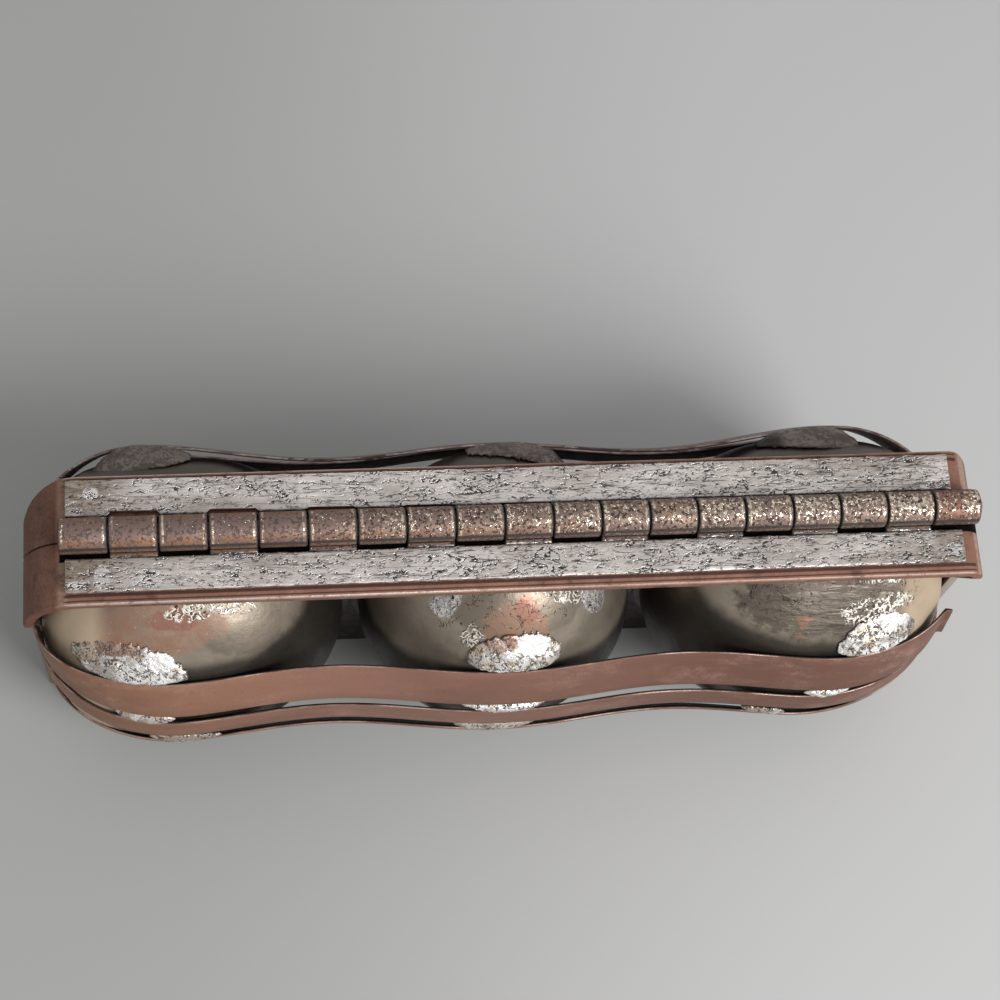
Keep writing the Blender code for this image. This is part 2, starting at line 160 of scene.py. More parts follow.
def new_material(name):
    """An empty material with its shader, and the coordinates of its surface."""
    material = bpy.data.materials.new(name)
    material.use_nodes = True
    tree = material.node_tree
    return material, tree, tree.nodes["Principled BSDF"], put(tree, "TexCoord").outputs


def finish_material(tree, shader, colour, rough, metal, height, strength, distance):
    """Feeds the colour, the roughness, the metal and the relief to the shader."""
    feed(tree, shader, {"Base Color": colour, "Roughness": rough, "Metallic": metal})
    bump = put(tree, "Bump", None, {"Height": height, "Strength": strength, "Distance": distance})
    tree.links.new(bump.outputs["Normal"], shader.inputs["Normal"])


world = bpy.data.worlds.new("sky")
bpy.context.scene.world = world
world.use_nodes = True
world.node_tree.nodes["Background"].inputs["Color"].default_value = SKY
bpy.ops.object.light_add(type="AREA", location=WINDOW_WAY * WINDOW_DISTANCE)
window = bpy.context.object
window.name = "window"
window.data.size = WINDOW_SIZE
window.data.energy = WINDOW_POWER
window.rotation_euler = WINDOW_WAY.to_track_quat("Z", "Y").to_euler()

bpy.ops.object.select_all(action="DESELECT")
bpy.ops.mesh.primitive_plane_add(size=TABLE_SIZE)
table = bpy.context.object
table.name = "table"
table_top, tree, shader, here = new_material("table_grey")
place = here["Object"]
across = put(tree, "SeparateXYZ", None, {"Vector": place}).outputs["X"]
mottle = put(tree, "TexNoise", None, {"Vector": place, "Scale": 9.0, "Detail": 3.0}).outputs["Fac"]
spread = total(tree, across, both(tree, mottle, 0.02))
dust = put(tree, "TexNoise", None, {"Vector": place, "Scale": 1500.0, "Detail": 2.0}).outputs["Fac"]
# Painted light: the table top runs from a shaded grey at the left to a lit grey at the right.
colour = layered(tree, TABLE_SHADED_LEFT, (step_between(tree, spread, -0.11, 0.12), TABLE_LIT_RIGHT))
finish_material(tree, shader, colour, 0.7, 0.0, dust, 0.05, 0.0002)
table.data.materials.append(table_top)

# Frames: two flat steel bars of 3 mm, each bent down at both ends around one half of the mould.
# The tin has worn off them to brown steel on top, and still greys the sides that hang down.
FRAME_HALF_LENGTH = 126.5
BAR_THICK = 3.0
BAR_WIDTH = 17.6
SIDE_WIDTH = 11.0
BAR_TOP = -3.1
FOOT = -95.0
PARTING_GAP = 0.15
CORNER_RADII = {"rear": (16.0, 7.0), "front": (16.0, 5.0)}
TAPERS = {"rear": ((-4.0, -15.0), (-4.0, -14.0)), "front": ((-20.0, -34.0), (-8.0, -26.0))}
BARREL_HOLLOW = 5.05
BAR_EDGE = 0.55
LEFT_STEPS, RIGHT_STEPS = 10, 8
SHARP_ANGLE = 50
HAIR = 0.01
HOLLOW_CUTS = (-0.15, -1.2, -2.2, -3.1, -3.98, -5.2)
STEEL_BROWN = (0.25, 0.125, 0.088, 1)
STEEL_RUST = (0.34, 0.18, 0.13, 1)
STEEL_DARK = (0.05, 0.026, 0.020, 1)
STEEL_DEEP_AND_SHADE = (0.125, 0.054, 0.034, 1)
# Near black, painted where there is shade: under the barrel, in the hole and inside the straps.
SHADE_BLACK = (0.012, 0.010, 0.009, 1)
RIM_SILVER = (0.66, 0.55, 0.49, 1)
TAN_TIN = (0.32, 0.25, 0.175, 1)
OLIVE_TIN = (0.27, 0.22, 0.17, 1)
PALE_TIN = (0.46, 0.405, 0.35, 1)
HINGE_LEFT = -116.3
HOLE_MARKS = ((122.3, -13.5, -9.0, 2.6, 4.2, 3.4),)


def on_hinge(x, y, z):
    """A place in millimetres from the hinge axis, as the scene has it."""
    return Vector((x, y, z + HINGE_HEIGHT)) * MM


def add_primitive(name, shape, stretch, place, turn=(0, 0, 0), **how):
    """Adds a primitive of that size at that place, and keeps the place in its mesh."""
    bpy.ops.object.select_all(action="DESELECT")
    getattr(bpy.ops.mesh, "primitive_" + shape + "_add")(location=place, rotation=turn, **how)
    piece = bpy.context.object
    piece.name = piece.data.name = name
    piece.scale = stretch
    bpy.ops.object.transform_apply(location=True, rotation=True, scale=True)
    return piece


def pick(piece):
    """Makes the piece the active one and the only one selected."""
    bpy.ops.object.select_all(action="DESELECT")
    bpy.context.view_layer.objects.active = piece
    piece.select_set(True)


def open_for_editing(piece, mode="VERT", choose="DESELECT"):
    """Goes into edit mode on one piece, with all of it selected if choose says SELECT, or else nothing."""
    pick(piece)
    bpy.ops.object.mode_set(mode="EDIT")
    bpy.ops.mesh.select_mode(type=mode)
    bpy.ops.mesh.select_all(action=choose)


def move_where(test, shift):
    """Moves each vertex of the piece being edited that the test holds for, by what shift gives."""
    mesh = bmesh.from_edit_mesh(bpy.context.object.data)
    for vert in mesh.verts:
        if test(vert.co):
            vert.co += shift(vert.co)
    bmesh.update_edit_mesh(bpy.context.object.data)


def finish_with(piece, kind, **settings):
    """Adds a modifier to the piece and applies it."""
    pick(piece)
    modifier = piece.modifiers.new(kind.lower(), kind)
    for name, value in settings.items():
        setattr(modifier, name, value)
    bpy.ops.object.modifier_apply(modifier=modifier.name)


def round_edges(piece, width, steps):
    """Rounds the sharp edges of the piece to that width in millimetres."""
    angle = math.radians(SHARP_ANGLE)
    finish_with(piece, "BEVEL", width=width * MM, segments=steps, limit_method="ANGLE", angle_limit=angle)


def smooth(piece, degrees):
    """Smooth shading, with edges sharper than the angle kept."""
    pick(piece)
    bpy.ops.object.shade_smooth_by_angle(angle=math.radians(degrees))


def wear_down(piece, depth, grain):
    """Lowers the surface unevenly by up to depth, in patches of the grain's size."""
    for vert in piece.data.vertices:
        lowered = 0.5 + 0.5 * noise.noise(vert.co / (grain * MM))
        vert.co -= vert.normal * lowered * depth * MM


def bent_bar(side):
    """The bar of one half, drawn from its left foot over both corners to its right foot."""
    left, right_radius = CORNER_RADII[side]
    left_start, right_start = BAR_TOP - left, BAR_TOP - right_radius
    start = on_hinge(BAR_THICK / 2 - FRAME_HALF_LENGTH, -(BAR_WIDTH + PARTING_GAP) / 2, FOOT)
    size = (BAR_THICK * MM, (BAR_WIDTH - PARTING_GAP) * MM, 1)
    bar = add_primitive(side + "_bent_bar", "plane", size, start, size=1)
    open_for_editing(bar, "FACE")
    for y in HOLLOW_CUTS[1:]:
        bpy.ops.mesh.select_all(action="SELECT")
        bpy.ops.mesh.bisect(plane_co=on_hinge(0, y, FOOT), plane_no=(0, 1, 0))
    bpy.ops.mesh.select_all(action="SELECT")
    (left_high, left_low), (right_high, right_low) = TAPERS[side]
    heights = [FOOT] + [high for high in (left_low, left_high) if high < left_start] + [left_start]
    for low, high in zip(heights, heights[1:]):
        rise = (0, 0, (high - low) * MM)
        bpy.ops.mesh.extrude_region_move(TRANSFORM_OT_translate={"value": rise})
    centre = on_hinge(left - FRAME_HALF_LENGTH, 0, left_start)
    bpy.ops.mesh.spin(steps=LEFT_STEPS, angle=-math.pi / 2, center=centre, axis=(0, 1, 0))
    run = (2 * FRAME_HALF_LENGTH - left - right_radius) * MM
    bpy.ops.mesh.extrude_region_move(TRANSFORM_OT_translate={"value": (run, 0, 0)})
    centre = on_hinge(FRAME_HALF_LENGTH - right_radius, 0, right_start)
    bpy.ops.mesh.spin(steps=RIGHT_STEPS, angle=-math.pi / 2, center=centre, axis=(0, 1, 0))
    heights = [right_start] + [high for high in (right_high, right_low) if high < right_start] + [FOOT]
    for high, low in zip(heights, heights[1:]):
        drop = (0, 0, (low - high) * MM)
        bpy.ops.mesh.extrude_region_move(TRANSFORM_OT_translate={"value": drop})
    bpy.ops.mesh.select_all(action="SELECT")
    bpy.ops.mesh.normals_make_consistent(inside=False)

    front_face = on_hinge(0, HAIR - BAR_WIDTH, 0).y

    def narrowed(at):
        """How far back the front face lies there, from nothing above the taper to its full depth below."""
        high, low = TAPERS[side][at.x > 0]
        share = min(1, max(0, (high - at.z / MM + HINGE_HEIGHT) / (high - low)))
        return Vector((0, (BAR_WIDTH - SIDE_WIDTH) * share * MM, 0))

    move_where(lambda at: at.y < front_face, narrowed)
    hinge_z = HINGE_HEIGHT * MM
    hollow = BARREL_HOLLOW * MM

    def in_the_barrel(at):
        """Whether the top of the bar there lies within the hollow that the knuckles turn in."""
        near = at.y > -hollow and at.z > hinge_z - hollow - 10 * HAIR * MM
        return near and math.hypot(at.y, at.z - hinge_z) < hollow

    move_where(
        in_the_barrel,
        lambda at: Vector((0, 0, hinge_z - math.sqrt(hollow**2 - at.y**2) - at.z)),
    )
    bpy.ops.object.mode_set(mode="OBJECT")
    round_edges(bar, BAR_EDGE, 3)
    return bar


def mirrored_to_rear(piece):
    """Turns a piece drawn as the front half's into the rear half's."""
    open_for_editing(piece, choose="SELECT")
    bpy.ops.transform.resize(value=(1, -1, 1), center_override=(0, 0, 0))
    bpy.ops.mesh.normals_make_consistent(inside=False)
    bpy.ops.object.mode_set(mode="OBJECT")


def new_group(name, vectors, numbers, outputs):
    """An empty node group with its vector inputs, its number inputs and their values, and its outputs."""
    group = bpy.data.node_groups.new(name, "ShaderNodeTree")
    for label in vectors:
        group.interface.new_socket(label, in_out="INPUT", socket_type="NodeSocketVector")
    for label, value in numbers.items():
        socket = group.interface.new_socket(label, in_out="INPUT", socket_type="NodeSocketFloat")
        socket.default_value = value
    for label in outputs:
        group.interface.new_socket(label, in_out="OUTPUT", socket_type="NodeSocketFloat")
    return group, group.nodes.new("NodeGroupInput").outputs, group.nodes.new("NodeGroupOutput").inputs


def use(tree, group, inputs):
    """Places a node group in a material."""
    return put(tree, "Group", {"node_tree": group}, inputs).outputs


# Where the surface lies, in millimetres along the hinge, out from it and above it, and how far it
# faces out from the hinge, towards the nearer end and up
measures, given, out = new_group(
    "measures", ("Place", "Normal"), {}, ("Along", "Outward", "Above", "Faces Out", "Faces End", "Faces Up")
)
spot = put(measures, "SeparateXYZ", None, {"Vector": given["Place"]}).outputs
way = put(measures, "SeparateXYZ", None, {"Vector": given["Normal"]}).outputs
measures.links.new(both(measures, spot["X"], 1000.0), out["Along"])
outward = math_of(measures, "ABSOLUTE", both(measures, spot["Y"], 1000.0))
measures.links.new(outward, out["Outward"])
above = less(measures, both(measures, spot["Z"], 1000.0), HINGE_HEIGHT)
measures.links.new(above, out["Above"])
measures.links.new(both(measures, way["Y"], math_of(measures, "SIGN", spot["Y"])), out["Faces Out"])
measures.links.new(both(measures, way["X"], math_of(measures, "SIGN", spot["X"])), out["Faces End"])
measures.links.new(way["Z"], out["Faces Up"])

# Patches of a stain or a coat, torn at their borders
patches, given, out = new_group(
    "patches", ("Place",), {"Size": 80.0, "Cover": 0.5, "Softness": 0.05, "Seed": 0.0}, ("Mask",)
)
inputs = {
    "Vector": given["Place"],
    "W": given["Seed"],
    "Scale": given["Size"],
    "Detail": 7.0,
    "Roughness": 0.62,
}
field = put(patches, "TexNoise", {"noise_dimensions": "4D"}, inputs).outputs[0]
level = less(patches, 1.0, given["Cover"])
low = less(patches, level, given["Softness"])
high = total(patches, level, given["Softness"])
patches.links.new(step_between(patches, field, low, high), out["Mask"])

# Strokes: short curled lines, as of scratches, cracks and the drag of a soldering iron
strokes, given, out = new_group(
    "strokes", ("Place",), {"Size": 300.0, "Width": 0.03, "Cover": 0.5, "Seed": 0.0}, ("Mask",)
)
inputs = {
    "Vector": given["Place"],
    "W": given["Seed"],
    "Scale": given["Size"],
    "Detail": 3.0,
    "Roughness": 0.55,
    "Distortion": 0.9,
}
field = put(strokes, "TexNoise", {"noise_dimensions": "4D"}, inputs).outputs[0]
away = math_of(strokes, "ABSOLUTE", less(strokes, field, 0.5))
line = below(strokes, away, both(strokes, given["Width"], 0.4), given["Width"])
inputs = {
    "Place": given["Place"],
    "Size": both(strokes, given["Size"], 0.8),
    "Cover": given["Cover"],
    "Softness": 0.04,
    "Seed": total(strokes, given["Seed"], 5.0),
}
strokes.links.new(both(strokes, line, use(strokes, patches, inputs)["Mask"]), out["Mask"])

# Fine grain of rust and dirt, as a height and as a tone
grain, given, out = new_group("grain", ("Place",), {"Size": 900.0}, ("Height", "Tone"))
inputs = {"Vector": given["Place"], "Scale": given["Size"], "Detail": 6.0, "Roughness": 0.65}
fine = put(grain, "TexNoise", None, inputs).outputs[0]
inputs = {"Vector": given["Place"], "Scale": both(grain, given["Size"], 0.22), "Detail": 4.0}
coarse = put(grain, "TexNoise", None, inputs).outputs[0]
mixed = total(grain, both(grain, fine, 0.6), both(grain, coarse, 0.4))
grain.links.new(mixed, out["Height"])
grain.links.new(step_between(grain, mixed, 0.38, 0.62), out["Tone"])


def marked_at(tree, place, marks, stray):
    """A mask of all the marks, each a middle and three reaches in millimetres, frayed by stray."""
    mask = 0.0
    for x, y, z, reach_x, reach_y, reach_z in marks:
        away = put(tree, "VectorMath", {"operation": "SUBTRACT"}, {0: place, 1: on_hinge(x, y, z)}).outputs[0]
        reach = Vector((reach_x, reach_y, reach_z)) * MM
        share = put(tree, "VectorMath", {"operation": "DIVIDE"}, {0: away, 1: reach}).outputs[0]
        far = put(tree, "VectorMath", {"operation": "LENGTH"}, {0: share}).outputs["Value"]
        mask = either(tree, mask, below(tree, total(tree, far, stray), 0.85, 1.1))
    return mask


def stray_by(tree, place, size, amount):
    """A wandering value around nothing, to fray a border with."""
    inputs = {"Vector": place, "Scale": size, "Detail": 4.0, "Roughness": 0.65}
    field = put(tree, "TexNoise", None, inputs).outputs[0]
    return both(tree, less(tree, field, 0.5), amount)


def patched(tree, place, size, cover, softness, seed):
    """A mask of patches, whose number rises with size and whose area with cover."""
    inputs = {"Place": place, "Size": size, "Cover": cover, "Softness": softness, "Seed": seed}
    return use(tree, patches, inputs)["Mask"]


def stroked(tree, place, size, width, cover, seed):
    """A mask of strokes, whose number rises with size and cover."""
    inputs = {"Place": place, "Size": size, "Width": width, "Cover": cover, "Seed": seed}
    return use(tree, strokes, inputs)["Mask"]


def drawn_out(tree, place, share):
    """The place with its measure along the hinge cut to a share, which draws out a pattern there."""
    return put(tree, "Mapping", None, {"Vector": place, "Scale": (share, 1.0, 1.0)}).outputs[0]


def mould_material(name):
    """An empty material, with the place on the mould of each point of its surface and the measures there."""
    material, tree, shader, here = new_material(name)
    place = here["Object"]
    return material, tree, shader, place, use(tree, measures, {"Place": place, "Normal": here["Normal"]})


frame_steel, tree, shader, place, at = mould_material("frame_steel")
specks = use(tree, grain, {"Place": place, "Size": 1100.0})
rust = patched(tree, place, 90.0, 0.5, 0.12, 2.0)
dark = patched(tree, place, 160.0, 0.4, 0.08, 3.0)
broken = patched(tree, place, 330.0, 0.58, 0.06, 4.0)
flat = step_between(tree, at["Above"], -3.9, -3.6)
worn_left = below(tree, at["Along"], -40.0, 25.0)
rim = both(tree, step_between(tree, at["Outward"], 17.0, 17.2), flat, levelled(tree, 0.15, (broken, 0.9)))
rim = both(tree, rim, levelled(tree, 0.3, (worn_left, 1.0)))
lip = both(tree, within(tree, at["Outward"], 14.6, 15.5, 0.15), flat)
edge_line = both(tree, within(tree, at["Outward"], 16.3, 16.7, 0.1), flat)
# Painted shade: the top of the bar under the barrel is painted black.
under_barrel = both(
    tree,
    below(tree, at["Outward"], 5.6, 5.9),
    step_between(tree, at["Above"], -7.0, -6.0),
    step_between(tree, at["Along"], HINGE_LEFT, HINGE_LEFT + 0.6),
)
hanging = total(tree, at["Above"], both(tree, at["Along"], -0.044))
hanging = below(tree, total(tree, hanging, stray_by(tree, place, 300.0, 3.0)), -15.4, -14.6)
# Painted shade: the inner faces of the bars' bent-down ends, low down, are painted dark.
inside = both(tree, below(tree, at["Faces End"], -0.8, -0.4), below(tree, at["Above"], -8.0, -6.0))
end_turn = within(tree, at["Faces Up"], 0.55, 0.9, 0.1)
worn_end = both(tree, broken, end_turn, below(tree, at["Above"], -4.2, -4.0))
# The left end is rusted deep brown, and is painted darker still as painted shade, as it faces away from the
# window.
left = below(tree, at["Along"], -117.5, -115.5)
tan = both(tree, within(tree, at["Along"], -118.4, -114.0, 0.4), step_between(tree, at["Above"], -4.4, -3.8))
# Painted shade: the hole near the front right corner is a black spot painted on the bar.
hole = marked_at(tree, place, HOLE_MARKS, stray_by(tree, place, 400.0, 0.3))
colour = layered(
    tree,
    STEEL_BROWN,
    (both(tree, rust, specks["Tone"]), STEEL_RUST),
    (both(tree, dark, 0.6), STEEL_DARK),
    (both(tree, worn_end, 0.3), RIM_SILVER),
    (both(tree, left, levelled(tree, 0.8, (specks["Tone"], 0.97))), STEEL_DEEP_AND_SHADE),
    (both(tree, left, dark, 0.5), STEEL_DARK),
    (both(tree, tan, specks["Tone"]), TAN_TIN),
    (hanging, OLIVE_TIN),
    (both(tree, hanging, dark, 0.45), STEEL_BROWN),
    (both(tree, hanging, step_between(tree, at["Along"], 110.0, 115.0)), PALE_TIN),
    (both(tree, either(tree, lip, edge_line), 0.85), STEEL_DARK),
    (rim, RIM_SILVER),
    (inside, STEEL_DARK),
    (either(tree, hole, under_barrel), SHADE_BLACK),
)
rough = levelled(tree, 0.5, (specks["Tone"], 0.62), (hanging, 0.5), (rim, 0.3), (under_barrel, 0.8))
metal = levelled(tree, 0.35, (left, 0.05), (hanging, 0.4), (rim, 0.85), (under_barrel, 1.0))
shader.inputs["Specular IOR Level"].default_value = 0.2
finish_material(tree, shader, colour, rough, metal, specks["Height"], 0.5, 0.0004)

for side in ("rear", "front"):
    bar = bent_bar(side)
    if side == "rear":
        mirrored_to_rear(bar)
    smooth(bar, 40)
    bar.data.materials.append(frame_steel)
    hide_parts(side + "_frame")
    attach(bar, side + "_half")

# Mating plates: sheets of tinned steel inside the frames, with an egg-shaped opening for each shell.
# They are painted near black as painted shade between the eggs, and are kept as the solids have them.
PLATE_PAINTED_SHADE = (0.10, 0.085, 0.072, 1)
PLATE_STAINED_SHADE = (0.022, 0.018, 0.016, 1)

plate_tin_in_painted_shade, tree, shader, here = new_material("plate_tin_in_painted_shade")
place = here["Object"]
specks = use(tree, grain, {"Place": place, "Size": 700.0})
stain = patched(tree, place, 45.0, 0.6, 0.12, 5.0)
# Painted shade: the tin of the plates is coloured near black, with darker patches.
colour = layered(tree, PLATE_PAINTED_SHADE, (stain, PLATE_STAINED_SHADE))
rough = levelled(tree, 0.35, (specks["Tone"], 0.55))
finish_material(tree, shader, colour, rough, 0.7, specks["Height"], 0.3, 0.0003)
for side in ("rear", "front"):
    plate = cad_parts[side + "_plate"]
    plate.data.materials.clear()
    plate.data.materials.append(plate_tin_in_painted_shade)

# Shells: six half eggs pressed from 0.8 mm tinned sheet, with a narrow flange soldered to the plate.
# The tin has gone a dull yellow-grey, has worn to copper brown in patches, and is flecked with flux and
# solder near the beads. It is painted black low down where the eggs face each other, as painted shade.
SHELL_THICK = 0.8
SHELL_HALF_HEIGHT = 41.5
SHELL_DEPTH = 35.7
SHELL_PITCH = 82.6
SHELL_MIDDLE = -50.0
FLANGE_BACK = 2.05
FLANGE_WIDTH = 1.7
EGG_TAPER = 0.06
HALF_WIDTHS = {"left": 40.4, "centre": 38.0, "right": 40.4}
SHELL_PLACES = {"left": -SHELL_PITCH, "centre": 0.0, "right": SHELL_PITCH}
FLANK_HEIGHT_POWER = 3.5
FLANK_DEPTH_POWERS = {"rear": 4.0, "front": 2.9}
FLANK_SWELL = 0.055
SWELL_DEPTH = 0.62
SHELL_WEAR = 0.25
WEAR_GRAIN = 22.0
CUT_BACK = 0.0000001
SEAM = 0.00001
SIDE_LIMIT = 123.35
TIN_YELLOW = (0.36, 0.305, 0.24, 1)
TIN_SMOKE_AND_SHADE = (0.19, 0.155, 0.12, 1)
TIN_BROWN = (0.060, 0.047, 0.036, 1)
TIN_BLACK = (0.030, 0.024, 0.020, 1)
REAR_SHELL_SHADE = (0.060, 0.050, 0.044, 1)
FLANK_OLIVE_PAINTED_LIGHT = (0.50, 0.38, 0.26, 1)
COPPER_BROWN = (0.32, 0.175, 0.115, 1)
COPPER_RED = (0.27, 0.12, 0.085, 1)
FLUX_WHITE = (0.82, 0.76, 0.67, 1)
FLUX_BLUE = (0.55, 0.56, 0.60, 1)
COPPER_MARKS = ((-92.5, -20.5, -16.5, 17.0, 6.8, 9.0), (1.5, -23.5, -18.0, 9.0, 6.5, 9.0))
RED_MARKS = ((-88.0, -19.0, -14.5, 7.0, 2.6, 4.0), (4.5, -19.5, -15.0, 3.6, 3.6, 4.0))
BROWN_MARKS = ((88.0, -19.0, -18.0, 27.0, 10.0, 11.0),)
# Places on the domes painted darker as painted shade, to dull the window's bright reflection there.
SHADE_MARKS = (
    (-69.0, -20.0, -18.0, 14.0, 9.0, 9.0),
    (5.0, -19.5, -16.0, 22.0, 8.0, 7.0),
    (108.0, -18.0, -22.0, 9.0, 7.0, 9.0),
)
FLUX_MARKS = (
    (-84.0, -17.4, -13.0, 6.0, 2.6, 3.0),
    (-73.0, -15.6, -13.5, 9.0, 2.2, 4.0),
    (16.5, -14.8, -16.0, 9.5, 2.6, 6.0),
    (98.0, -23.0, -17.5, 8.0, 4.0, 4.5),
    (105.5, -19.5, -17.5, 7.0, 1.8, 3.0),
    (-10.0, -24.5, -20.5, 3.4, 2.8, 4.0),
    (101.0, -15.0, -13.0, 9.0, 1.2, 2.5),
)
BLUE_MARKS = ((-16.5, -15.4, -18.0, 4.2, 4.0, 6.0), (24.0, -14.2, -21.5, 5.0, 4.0, 6.0))
SCRATCH_MARKS = ((-3.0, -18.0, -14.0, 34.0, 7.0, 9.0), (85.0, -18.0, -14.0, 30.0, 7.0, 8.0))


def bulge(share, power):
    """How wide a bulge of that power is at a height share, against a round one."""
    share = min(abs(share), 0.9999)
    return (1 - share**power) ** (1 / power) / math.sqrt(1 - share**2)


def flank_push(at, tall, depth_power):
    """How much further out a point of the round flank lies once it is pressed out to the side bar."""
    height = at.z / tall
    row = math.sqrt(max(0.0, 1 - height**2))
    depth = min(1, abs(at.y) / (SHELL_DEPTH * MM * row)) if row else 1
    swell = 1 + FLANK_SWELL * max(0, 1 - (depth / SWELL_DEPTH) ** 4)
    return bulge(height, FLANK_HEIGHT_POWER) * bulge(depth, depth_power) * swell


def half_egg(name, half_width, outward, depth_power):
    """A pressed half egg at the hinge's middle: a ball drawn to size, cut in half and given its flange.
    The side that outward points to is pressed fuller, to lie along the side bar."""
    size = (half_width * MM, SHELL_DEPTH * MM, SHELL_HALF_HEIGHT * MM)
    egg = add_primitive(name, "uv_sphere", size, (0, 0, 0), segments=72, ring_count=48, radius=1)
    open_for_editing(egg, choose="SELECT")
    bpy.ops.mesh.bisect(plane_co=(0, -CUT_BACK, 0), plane_no=(0, 1, 0), clear_outer=True)
    tall = SHELL_HALF_HEIGHT * MM
    move_where(
        lambda at: at.x * outward > 0,
        lambda at: Vector((at.x * (flank_push(at, tall, depth_power) - 1), 0, 0)),
    )
    move_where(
        lambda at: True,
        lambda at: Vector((-at.x * EGG_TAPER * at.z / tall, -at.y * EGG_TAPER * at.z / tall, 0)),
    )
    bpy.ops.mesh.select_all(action="DESELECT")
    mesh = bmesh.from_edit_mesh(egg.data)
    for edge in mesh.edges:
        edge.select_set(edge.is_boundary)
    bmesh.update_edit_mesh(egg.data)
    bpy.ops.mesh.extrude_region_move()
    grow = [1 + FLANGE_WIDTH / half_width, 1, 1 + FLANGE_WIDTH / SHELL_HALF_HEIGHT]
    bpy.ops.transform.resize(value=grow, center_override=(0, 0, 0))
    bpy.ops.mesh.select_all(action="SELECT")
    bpy.ops.mesh.remove_doubles(threshold=SEAM)
    bpy.ops.mesh.normals_make_consistent(inside=False)
    bpy.ops.object.mode_set(mode="OBJECT")
    crown = min(egg.data.polygons, key=lambda face: face.center.y)
    if crown.normal.y > 0:
        open_for_editing(egg, choose="SELECT")
        bpy.ops.mesh.flip_normals()
        bpy.ops.object.mode_set(mode="OBJECT")
    return egg


shell_tin, tree, shader, place, at = mould_material("shell_tin")
specks = use(tree, grain, {"Place": place, "Size": 520.0})
frayed = stray_by(tree, place, 260.0, 1.1)
# Patches of smoky tarnish, with the shade marks painted in the same colour as painted shade.
smoke_and_shade = patched(tree, place, 40.0, 0.46, 0.14, 1.0)
smoke_and_shade = either(tree, smoke_and_shade, marked_at(tree, place, SHADE_MARKS, stray_by(tree, place, 120.0, 0.5)))
copper = patched(tree, place, 60.0, 0.36, 0.03, 7.0)
copper = either(tree, copper, marked_at(tree, place, COPPER_MARKS, frayed))
red = marked_at(tree, place, RED_MARKS, frayed)
flux_area = marked_at(tree, place, FLUX_MARKS, frayed)
blue_area = marked_at(tree, place, BLUE_MARKS, frayed)
scratched = marked_at(tree, place, SCRATCH_MARKS, frayed)
curls = stroked(tree, place, 520.0, 0.055, 0.56, 2.0)
# Painted shadow: a copy of the flux curls, shifted a little, is painted black beside them.
lifted = put(tree, "VectorMath", {"operation": "ADD"}, {0: place, 1: (0.0002, -0.0003, 0.0002)}).outputs[0]
curl_shadows = stroked(tree, lifted, 520.0, 0.055, 0.56, 2.0)
flecks = patched(tree, place, 700.0, 0.36, 0.03, 3.0)
hair = stroked(tree, place, 260.0, 0.016, 0.52, 6.0)
ground = drawn_out(tree, place, 0.16)
ground = patched(tree, ground, 700.0, 0.5, 0.1, 4.0)
off_centre = math_of(tree, "ABSOLUTE", at["Along"])
# The outer flanks of the end eggs are olive tin, painted paler and matt as painted light where the window
# leaves them in shade.
outer_flank = step_between(tree, at["Faces End"], 0.2, 0.42)
outer_flank = both(tree, outer_flank, step_between(tree, off_centre, 84.0, 92.0))
# Painted shade: where the lower flanks turn down or face a neighbouring egg, the tin is painted black.
lean = total(tree, both(tree, at["Faces End"], 0.3), 0.04)
lean = both(tree, below(tree, off_centre, 40.0, 42.0), lean)
lean = total(tree, total(tree, at["Faces Up"], lean), stray_by(tree, place, 60.0, 0.12))
lower_flank_shade = both(tree, below(tree, lean, 0.54, 0.63), less(tree, 1.0, outer_flank))
# Painted shade: the shells of the rear half are painted darker all over.
rear = step_between(tree, put(tree, "SeparateXYZ", None, {"Vector": place}).outputs["Y"], -0.001, 0.001)
brown = both(tree, marked_at(tree, place, BROWN_MARKS, frayed), levelled(tree, 0.78, (ground, 1.0)))
messy = either(tree, flux_area, blue_area)
colour = layered(
    tree,
    TIN_YELLOW,
    (both(tree, smoke_and_shade, 0.8), TIN_SMOKE_AND_SHADE),
    (both(tree, brown, 0.8), TIN_BROWN),
    (both(tree, copper, levelled(tree, 0.45, (specks["Tone"], 0.95))), COPPER_BROWN),
    (both(tree, red, 0.7), COPPER_RED),
    (both(tree, blue_area, specks["Tone"]), FLUX_BLUE),
    (both(tree, outer_flank, 0.8), FLANK_OLIVE_PAINTED_LIGHT),
    (both(tree, scratched, hair), TIN_BLACK),
    (both(tree, rear, 0.8), REAR_SHELL_SHADE),
    (both(tree, lower_flank_shade, 0.88), TIN_BLACK),
    (both(tree, messy, curl_shadows), TIN_BLACK),
    (both(tree, messy, curls), FLUX_WHITE),
    (both(tree, either(tree, copper, flux_area), flecks, levelled(tree, 0.2, (flux_area, 0.9))), FLUX_WHITE),
)
rough = levelled(tree, 0.34, (specks["Tone"], 0.44), (copper, 0.52), (flux_area, 0.4), (outer_flank, 0.6))
fluxed = both(tree, flux_area, curls)
metal = levelled(tree, 0.72, (brown, 0.6), (copper, 0.6), (fluxed, 0.5), (outer_flank, 0.1))
relief = total(tree, specks["Height"], fluxed)
relief = total(tree, relief, both(tree, brown, ground))
finish_material(tree, shader, colour, rough, metal, relief, 0.28, 0.0006)

